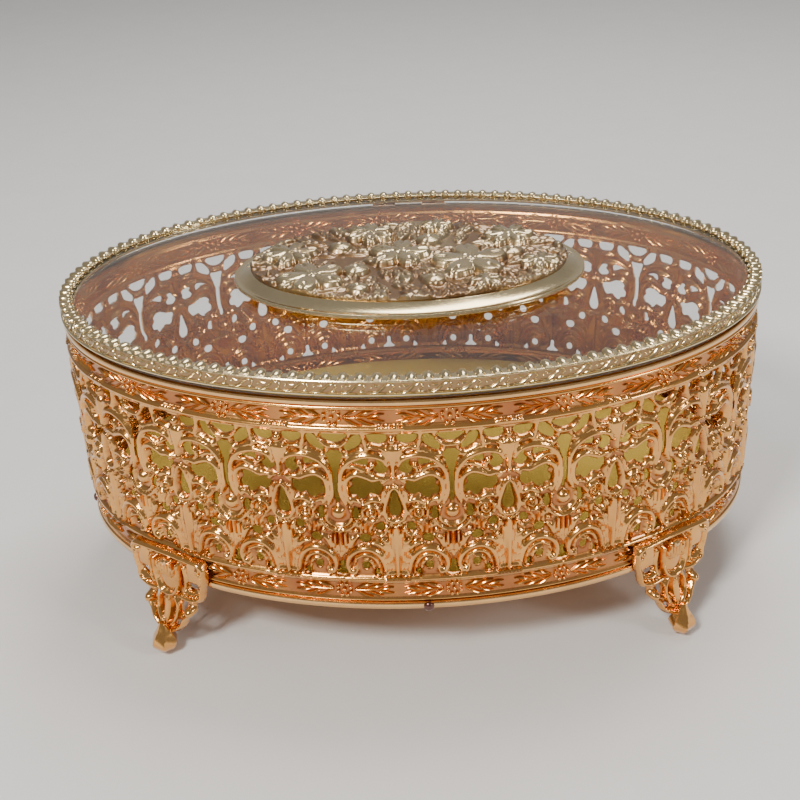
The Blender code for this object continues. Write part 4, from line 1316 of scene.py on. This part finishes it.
@dataclass
class Foot:
    """The four cast feet: a shell of scrolls and loops bent along the band, down to a leaf bud toe."""

    finishes: Finishes
    turn: float = 46.0
    standoff: float = 3.0
    flare: float = 6.4
    flare_start: float = 24.0
    sole_x: float = 83.77
    sole_y: float = 62.29
    pitch: float = 0.32

    def shell(self) -> bpy.types.Object:
        """Emboss and cut the shell of one foot.

        Returns:
            The flat tile.
        """
        sheet = ReliefSheet(-15.8, 15.8, 5.0, 36.2, self.pitch)
        for height, path in FOOT_STROKES:
            sheet.ridge(path, height)
        sheet.dome(8.2, 14.9, 1.8, 2.9)
        for u, v in ((7.4, 20.7), (8.6, 20.6), (9.8, 20.7), (11.0, 21.0)):
            sheet.dome(u, v, 0.5, 2.0)
        sheet.dome(12.9, 31.4, 0.8, 2.4)
        sheet.dome(10.4, 27.6, 4.0, 1.3, squash=1.7)
        sheet.dome(0.0, 25.6, 4.3, 1.9, squash=1.4)
        for u in (0.7, 2.0, 3.2):
            sheet.ridge([(u, 31.2, 0.35), (u * 0.92, 28.6, 0.5), (u * 0.8, 26.4, 0.25)], 0.8, base=1.6)
        sheet.trim(FOOT_OUTLINE + [(-u, v) for u, v in reversed(FOOT_OUTLINE[1:-1])])
        for outline in FOOT_OPENINGS:
            sheet.opening(outline)
        sheet.mirror()
        return sheet.tile("foot_tile", 1.1, ground=-1.2, emboss=0.6, edge_drop=0.5, edge_width=0.9)

    def toe(self, spot: Vector, out: Vector) -> MeshParts:
        """The folded leaf bud that a foot stands on, with its stem.

        Args:
            spot: Where it meets the floor.
            out: The level direction away from the box.

        Returns:
            Its shell.
        """
        across = Vector((-out.y, out.x, 0))
        parts = MeshParts()
        profile = [(1.5, 0.0), (2.5, 0.3), (3.5, 1.1), (4.3, 2.4), (4.5, 3.6), (4.0, 5.0), (3.1, 6.4), (2.2, 7.8)]
        profile += [(1.7, 9.2), (0.9, 10.6)]
        loops = []
        for radius, height in profile:
            loop = []
            for angle in circle(60):
                flat = math.cos(math.pi / 6) / math.cos((angle + 0.05 * height) % (math.pi / 3) - math.pi / 6)
                full = radius * (flat if 0.2 < height < 9 else 0.9)
                at = spot + (across * math.cos(angle) + out * math.sin(angle)) * full * MM
                loop.append((at.x, at.y, height * MM))
            loops.append(loop)
        parts.loops(loops)
        return parts

    def build(self) -> None:
        """Set the four feet and their toes."""
        tile = self.shell()
        flat = point_rows(tile.data)
        drop = np.clip((self.flare_start * MM - flat[:, 2]) / (self.flare_start * MM), 0, 1)
        flat[:, 1] += (self.standoff + self.flare * drop**1.5) * MM
        for name, side, back in CORNERS:
            turn = math.atan2(back * math.sin(math.radians(self.turn)), side * math.cos(math.radians(self.turn)))
            mesh = tile.data.copy()
            place_points(mesh, OVAL.bend(flat, OVAL.length_at(turn)))
            gild(linked("foot_shell_" + name, mesh, 70), self.finishes.foot, "foot_" + name)
            sole = Vector((side * self.sole_x * MM, OVAL.middle_y + back * self.sole_y * MM, 0))
            toe = mesh_object("foot_toe_" + name, self.toe(sole, OVAL.normal(turn)), crease=24)
            gild(toe, self.finishes.foot)
        bpy.data.objects.remove(tile)


@dataclass
class Rivets:
    """The four round-headed dark rivets of the lower rim."""

    repeat: OvalRepeat
    finishes: Finishes
    height: float = 25.2
    seat: float = 0.72
    shank: float = 0.45
    front_shift: float = 2.4
    side_shift: float = 9.0
    head: tuple[tuple[float, ...], ...] = ((1.6, 0.0), (1.58, 0.25), (1.4, 0.65), (1.0, 1.0), (0.5, 1.17), (0.12, 1.2))

    def tile(self) -> bpy.types.Object:
        """A rivet lying flat: its head stands out along Y.

        Returns:
            The flat tile.
        """
        parts = MeshParts()
        loops = []
        for radius, out in ((self.shank, -2.4), (self.shank, -0.01), *self.head):
            height, depth = self.height, self.seat + out
            loops.append([(radius * math.cos(a), depth, height + radius * math.sin(a)) for a in circle(28)])
        parts.loops(loops)
        return flat_tile("rivet", parts)

    def build(self) -> None:
        """Lay the four rim rivets."""
        tile = self.tile()
        for k, place in enumerate(("front", "right", "rear", "left")):
            first = k * OVAL.perimeter() / 4 + (self.side_shift if k % 2 else self.front_shift) * MM
            piece = self.repeat.lay("rim_rivet_" + place, tile, self.finishes.rivet, 1, first, 0.01)
            attach(piece, Body.CASE, "dark_rivet", "base_rivet_" + place)
        bpy.data.objects.remove(tile)


# --- The lid -------------------------------------------------------------------------------------


@dataclass
class LidFrame:
    """The lid's scrolled edge, its crown of gadroons, its inner seat and the clear pane."""

    repeat: OvalRepeat
    finishes: Finishes
    gadroons: int = 126
    scrolls: int = 75

    def gadroon(self) -> bpy.types.Object:
        """One rounded lobe that runs inwards over the glass edge, flat."""
        parts = MeshParts()
        parts.strap([(0, -0.75, 0.9), (0, 0.2, 1.5), (0, 1.4, 1.75), (0, 2.3, 1.7), (0, 2.95, 1.1)], 1.45, sink=0.3)
        parts.strap([(-0.2, 2.7, 0.5), (0.0, 3.3, 0.8), (0.2, 3.6, 0.3)], 0.8, sink=0.3)
        return flat_tile("gadroon", parts)

    def scroll(self) -> bpy.types.Object:
        """One running scroll with its bud, flat.

        Returns:
            The flat tile.
        """
        parts = MeshParts()
        wave = [(-4.0, 99.6, 0.25), (-2.2, 99.3, 0.4), (-0.4, 100.2, 0.45), (0.9, 101.5, 0.45), (2.3, 102.0, 0.4)]
        wave += [(3.2, 101.2, 0.35), (2.6, 100.4, 0.3)]
        parts.strap(wave, 0.85)
        parts.strap([(-2.6, 101.9, 0.2), (-1.6, 101.3, 0.45), (-0.6, 101.6, 0.2)], 0.7)
        parts.strap([(1.2, 99.4, 0.2), (2.2, 99.7, 0.42), (3.3, 99.4, 0.2)], 0.7)
        parts.bead(-3.2, 101.0, 0.45, 0.8, steps=7)
        return flat_tile("scroll", parts)

    def build(self) -> None:
        """Build the rings, the repeated relief and the pane."""
        edge = [(0.0, 98.4), (0.75, 98.4), (0.98, 98.6), (0.98, 98.9), (0.6, 99.15), (0.15, 99.3), (0.15, 102.3)]
        edge += [(0.4, 102.5), (0.4, 102.72), (0.0, 102.72)]
        crown = [(-2.4, 102.76), (0.75, 102.76), (0.9, 102.95), (0.75, 103.15), (0.3, 103.25), (-2.2, 103.3)]
        crown += [(-2.9, 103.05), (-2.9, 102.8)]
        seat = [(-3.6, 98.85), (-3.5, 98.8), (-0.35, 98.8), (-0.3, 98.85), (-0.3, 99.55), (-0.35, 99.6), (-3.4, 99.6)]
        seat += [(-3.6, 99.4)]
        # The shaded points, under and inside the lid's edge band and under the seat ring, get painted shade.
        for name, profile, shaded, node in (
            ("lid_edge_band", edge, (0, 1, 5, 6, 9), "lid_bezel"),
            ("lid_crown_ring", crown, (), "gallery_ring"),
            ("lid_seat_ring", seat, (0, 1, 2, 3), "glass_seat_ring"),
        ):
            gild_lid(ring_object(name, profile, shaded), self.finishes.lid, node)
        for name, tile, count, placing, lift in (
            ("lid_gadroons", self.gadroon(), self.gadroons, Placing.UPWARD, 103.1 * MM),
            ("lid_scrolls", self.scroll(), self.scrolls, Placing.OUTWARD, 0.0),
        ):
            pitch = OVAL.perimeter() / count
            relief = self.repeat.lay(name, tile, self.finishes.lid, count, 0.0, pitch, placing, lift=lift)
            attach(relief, Body.LID, "pale_gilt")
            bpy.data.objects.remove(tile)
        pane = plate_object("lid_glass", [(-0.9, 99.9), (-0.3, 100.4), (-0.3, 102.2), (-0.9, 102.7)], steps=320)
        attach(dress(pane, self.finishes.glass), Body.LID, "glass", "glass_pane")


@dataclass
class Medallion:
    """The oval boss on the glass: a polished dished tray filled with blossoms, roses and leaves."""

    finishes: Finishes
    half_length: float = 57.8
    half_width: float = 38.2
    seat: float = 106.95
    pitch: float = 0.36

    def blossom(self, sheet: ReliefSheet, u: float, v: float, size: float, turn: float, petals: int = 5) -> None:
        """Raise an open flower with cupped petals and a stippled centre.

        Args:
            sheet: The sheet to emboss.
            u: Middle along the box.
            v: Middle across it.
            size: Radius to the petals' tips.
            turn: Heading of the first petal in degrees.
            petals: Number of petals.
        """
        for k in range(petals):
            angle = math.radians(turn) + 2 * math.pi * k / petals
            spread = 2.1 / petals
            ray = [(0.25, 0.3 * spread), (0.5, 0.8 * spread), (0.75, 0.95 * spread), (0.95, 0.6 * spread)]
            path = [(u + size * r * math.cos(angle), v + size * r * math.sin(angle), size * w) for r, w in ray]
            sheet.ridge(path, 0.8, base=2.2)
            tip = (u + size * 1.25 * math.cos(angle), v + size * 1.25 * math.sin(angle))
            sheet.groove([path[2][:2], tip], 0.9, 0.5)
            gap = angle + math.pi / petals
            root = (u + 0.35 * size * math.cos(gap), v + 0.35 * size * math.sin(gap))
            end = (u + 1.05 * size * math.cos(gap), v + 1.05 * size * math.sin(gap))
            sheet.groove([root, end], 1.1, 0.5)
        sheet.dome(u, v, 0.38 * size, 3.1)
        for ring, count in ((0.0, 1), (0.15, 5), (0.3, 10)):
            for k in range(count):
                angle = 2 * math.pi * k / count + ring
                spot = (u + ring * size * math.cos(angle), v + ring * size * math.sin(angle))
                sheet.dome(*spot, 0.4 + 0.035 * size, 3.75 - 1.2 * ring)

    def rose(self, sheet: ReliefSheet, u: float, v: float, size: float, turn: float) -> None:
        """Raise a rose, a ball of petals wound round its heart.

        Args:
            sheet: The sheet to emboss.
            u: Middle along the box.
            v: Middle across it.
            size: Radius.
            turn: Heading of its first petal in degrees.
        """
        sheet.dome(u, v, size, 2.5)
        for ring, start in ((0.3, 0), (0.55, 130), (0.8, 250)):
            for k in range(3):
                low = math.radians(turn + start + 120 * k)
                turns = [low + math.radians(a) for a in (0, 32, 64, 96)]
                path = [(u + ring * size * math.cos(t), v + ring * size * math.sin(t)) for t in turns]
                sheet.ridge(path, 0.8, 0.16 * size, base=2.6 - 1.3 * ring)

    def leaf(self, sheet: ReliefSheet, u: float, v: float, size: float, turn: float, base: float = 0.9) -> None:
        """Raise a veined leaf.

        Args:
            sheet: The sheet to emboss.
            u: Its stalk along the box.
            v: Its stalk across it.
            size: Length.
            turn: Heading in degrees.
            base: Height that it lies on.
        """
        ahead = np.array([math.cos(math.radians(turn)), math.sin(math.radians(turn))])
        side = np.array([-ahead[1], ahead[0]])
        start = np.array([u, v])
        shape = ((0.0, 0.05), (0.25, 0.2), (0.55, 0.26), (0.82, 0.16), (1.0, 0.04))
        path = [(*(start + ahead * size * t + side * size * 0.06 * math.sin(3 * t)), size * w) for t, w in shape]
        sheet.ridge(path, 1.0, base=base)
        sheet.groove([p[:2] for p in path], 0.6, 0.5)
        for t in (0.3, 0.55):
            for lean in (-1, 1):
                root = start + ahead * size * t
                tip = root + (ahead * 0.2 + side * 0.2 * lean) * size
                sheet.groove([tuple(root), tuple(tip)], 0.4, 0.4)

    def relief(self) -> bpy.types.Object:
        """The flower relief, from its low leaves up to its high blossoms.

        Returns:
            The piece.
        """
        a, b = self.half_length - 5.7, self.half_width - 5.7
        sheet = ReliefSheet(-a - 0.3, a + 0.3, -b - 0.3, b + 0.3, self.pitch)
        sheet.height += 0.5
        # Painted shade reaches up to this height, so the low leaves darken and the blossoms stand out.
        sheet.deep = 3.6
        sheet.solid = (1 - np.hypot(sheet.u / a, sheet.v / b)) * np.hypot(sheet.u, sheet.v).clip(1)
        random = np.random.default_rng(7)
        for ring, count in ((1.06, 46), (0.92, 38), (0.74, 30), (0.54, 22), (0.34, 14), (0.14, 6)):
            for k in range(count):
                angle = 2 * math.pi * (k + random.uniform(-0.2, 0.2)) / count
                u, v = a * ring * math.cos(angle) * 0.9, b * ring * math.sin(angle) * 0.9
                heading = math.degrees(math.atan2(v, u)) + random.uniform(-75, 75)
                self.leaf(sheet, u, v, random.uniform(8.0, 12.0), heading, random.uniform(0.2, 1.1))
        for k in range(14):
            angle, ring = random.uniform(0, 2 * math.pi), math.sqrt(random.uniform(0.1, 0.97))
            sheet.dome(a * ring * math.cos(angle), b * ring * math.sin(angle), random.uniform(0.8, 1.2), 2.5)
        left_roses = ((-17, -10, 4.4, 20), (-23, 10, 4.0, 70), (-16, -25, 3.6, 80))
        right_roses = ((7, 14, 4.4, 10), (34, 1, 4.2, 50), (8, -20, 4.0, 30))
        for u, v, size, turn in left_roses + right_roses:
            self.rose(sheet, u, v, size, turn)
        left_blossoms = ((-39, 5, 8.2, 15, 6), (-31, -15, 9.4, 40, 5), (-3, 2, 8.8, 10, 5), (-13, 21, 7.4, 30, 6))
        right_blossoms = ((20, -6, 10.8, 25, 5), (34, 15, 7.6, 0, 6), (42.5, -9, 6.0, 20, 6), (24, -24, 4.8, 30, 5))
        for u, v, size, turn, petals in (*left_blossoms, *right_blossoms, (10, 26, 4.8, 10, 5)):
            self.blossom(sheet, u, v, size, turn, petals)
        for axis in (0, 1):
            ahead, behind = np.roll(sheet.height, 1, axis), np.roll(sheet.height, -1, axis)
            sheet.height = 0.5 * sheet.height + 0.25 * (ahead + behind)
        sheet.height = np.clip(sheet.height, 0.2, 3.95)
        tile = sheet.tile("relief_tile", 0.0, emboss=0.0, edge_drop=0.2, edge_width=0.8)
        mesh = tile.data
        flat = point_rows(mesh)
        place_points(mesh, flat[:, [0, 2, 1]] + np.array([0, OVAL.middle_y, self.seat * MM]))
        bpy.data.objects.remove(tile)
        mesh.name = "medallion_flowers"
        return linked("medallion_flowers", mesh, 80)

    def build(self) -> None:
        """Build the tray, its bond to the glass and the relief."""
        rows = [(1.2, 103.0), (0.5, 103.05), (0.0, 103.5), (0.0, 104.1), (0.25, 104.5), (0.7, 104.6), (1.1, 104.45)]
        rows += [(1.5, 104.4), (2.6, 104.8), (4.2, 105.7), (5.4, 106.5), (5.9, 106.85), (6.6, 106.95)]
        oval = Oval(self.half_length * MM, self.half_width * MM)
        tray = plate_object("medallion_dish", [(-inset, height) for inset, height in rows], crease=40, oval=oval)
        gild_lid(tray, self.finishes.lid, "medallion_tray")
        dress(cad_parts["medallion_pad"], self.finishes.bond)
        gild_lid(self.relief(), self.finishes.relief, "medallion_relief")


@dataclass
class Hinge:
    """The rear hinge: its CAD leaves, pin and rivets carry the box's own finishes."""

    finishes: Finishes

    def build(self) -> None:
        """Dress the hinge's parts."""
        for node in ("hinge_leaf_body", "hinge_leaf_lid", "hinge_pin", "hinge_rivet_left", "hinge_rivet_right"):
            dress(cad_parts[node], self.finishes.rim)
        for place, _, _ in CORNERS:
            dress(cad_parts["foot_rivet_" + place], self.finishes.rim)


# --- The studio ----------------------------------------------------------------------------------


@dataclass
class Studio:
    """A pale floor, soft lights and the camera."""

    distance: float = 427.0
    elevation: float = 27.8
    azimuth: float = 0.6
    roll: float = -2.47
    lens: float = 55.53

    def floor(self) -> None:
        """A wide pale sweep with a slightly mottled paper surface."""
        parts = MeshParts()
        path = [(-1.6, 0.0), (1.2, 0.0), (1.5, 0.02), (1.75, 0.12), (1.9, 0.32), (1.95, 0.6), (1.95, 1.6)]
        curve = smooth_path(path, per_span=6)
        points = [(x, float(y), float(z)) for y, z in curve for x in (-2.6, 2.6)]
        faces = [(2 * i, 2 * i + 1, 2 * i + 3, 2 * i + 2) for i in range(len(curve) - 1)]
        parts.add(points, faces)
        sweep = mesh_object("floor_sweep", parts)
        paper = PlainStock("pale_paper", (0.83, 0.815, 0.795), (0.78, 0.765, 0.745), 0.8, 40.0, 6.0)
        dress(sweep, paper.material())

    @staticmethod
    def lamp(name: str, spot: tuple[float, float, float], size: float, power: float, tint: tuple) -> None:
        """Set a square soft light aimed at the box.

        Args:
            name: Its name.
            spot: Where it stands, in metres.
            size: Side of the square.
            power: Watts.
            tint: Its colour.
        """
        data = bpy.data.lights.new(name, "AREA")
        data.shape = "SQUARE"
        data.size = size
        data.energy = power
        data.color = tint
        made = bpy.data.objects.new(name, data)
        bpy.context.scene.collection.objects.link(made)
        made.location = spot
        made.rotation_euler = (Vector((0, 0, 0.06)) - Vector(spot)).to_track_quat("-Z", "Y").to_euler()

    def camera(self) -> None:
        """The camera, a little turned on its own axis."""
        data = bpy.data.cameras.new("view")
        data.lens = self.lens
        data.sensor_width = 36
        data.shift_x, data.shift_y = -0.0175, -0.0275
        data.clip_start = 0.01
        made = bpy.data.objects.new("view", data)
        bpy.context.scene.collection.objects.link(made)
        a, e = math.radians(self.azimuth), math.radians(self.elevation)
        back = Vector((math.sin(a) * math.cos(e), -math.cos(a) * math.cos(e), math.sin(e)))
        made.location = Vector((0, OVAL.middle_y, 0.063)) + back * self.distance * MM
        aim = (-back).to_track_quat("-Z", "Y")
        made.rotation_euler = (aim @ Quaternion((0, 0, 1), math.radians(self.roll))).to_euler()
        bpy.context.scene.camera = made

    def build(self) -> None:
        """Set the floor, the lights, the surround and the camera."""
        self.floor()
        self.lamp("key_light", (-0.45, -0.75, 0.95), 0.24, 12.5, (1.0, 0.97, 0.92))
        self.lamp("top_light", (0.15, 0.35, 1.0), 0.5, 7.0, (1.0, 0.98, 0.95))
        self.lamp("right_fill", (0.85, -0.5, 0.55), 0.2, 2.6, (1.0, 0.96, 0.9))
        world = bpy.data.worlds.new("studio_air")
        bpy.context.scene.world = world
        world.use_nodes = True
        world.node_tree.nodes["Background"].inputs["Color"].default_value = (0.62, 0.62, 0.64, 1)
        world.node_tree.nodes["Background"].inputs["Strength"].default_value = 0.42
        self.camera()


def main() -> None:
    """Build the box and its studio."""
    logging.basicConfig(level=logging.INFO, format="%(name)s: %(message)s")
    repeat = OvalRepeat()
    finishes = Finishes(ShadeGroups())
    for assembly in (
        FiligreeBand(repeat, finishes),
        CaseFrame(finishes),
        Foot(finishes),
        Rivets(repeat, finishes),
        LidFrame(repeat, finishes),
        Medallion(finishes),
        Hinge(finishes),
        Studio(),
    ):
        assembly.build()
    bpy.data.node_groups.remove(repeat.tree)


if __name__ == "__main__":
    main()
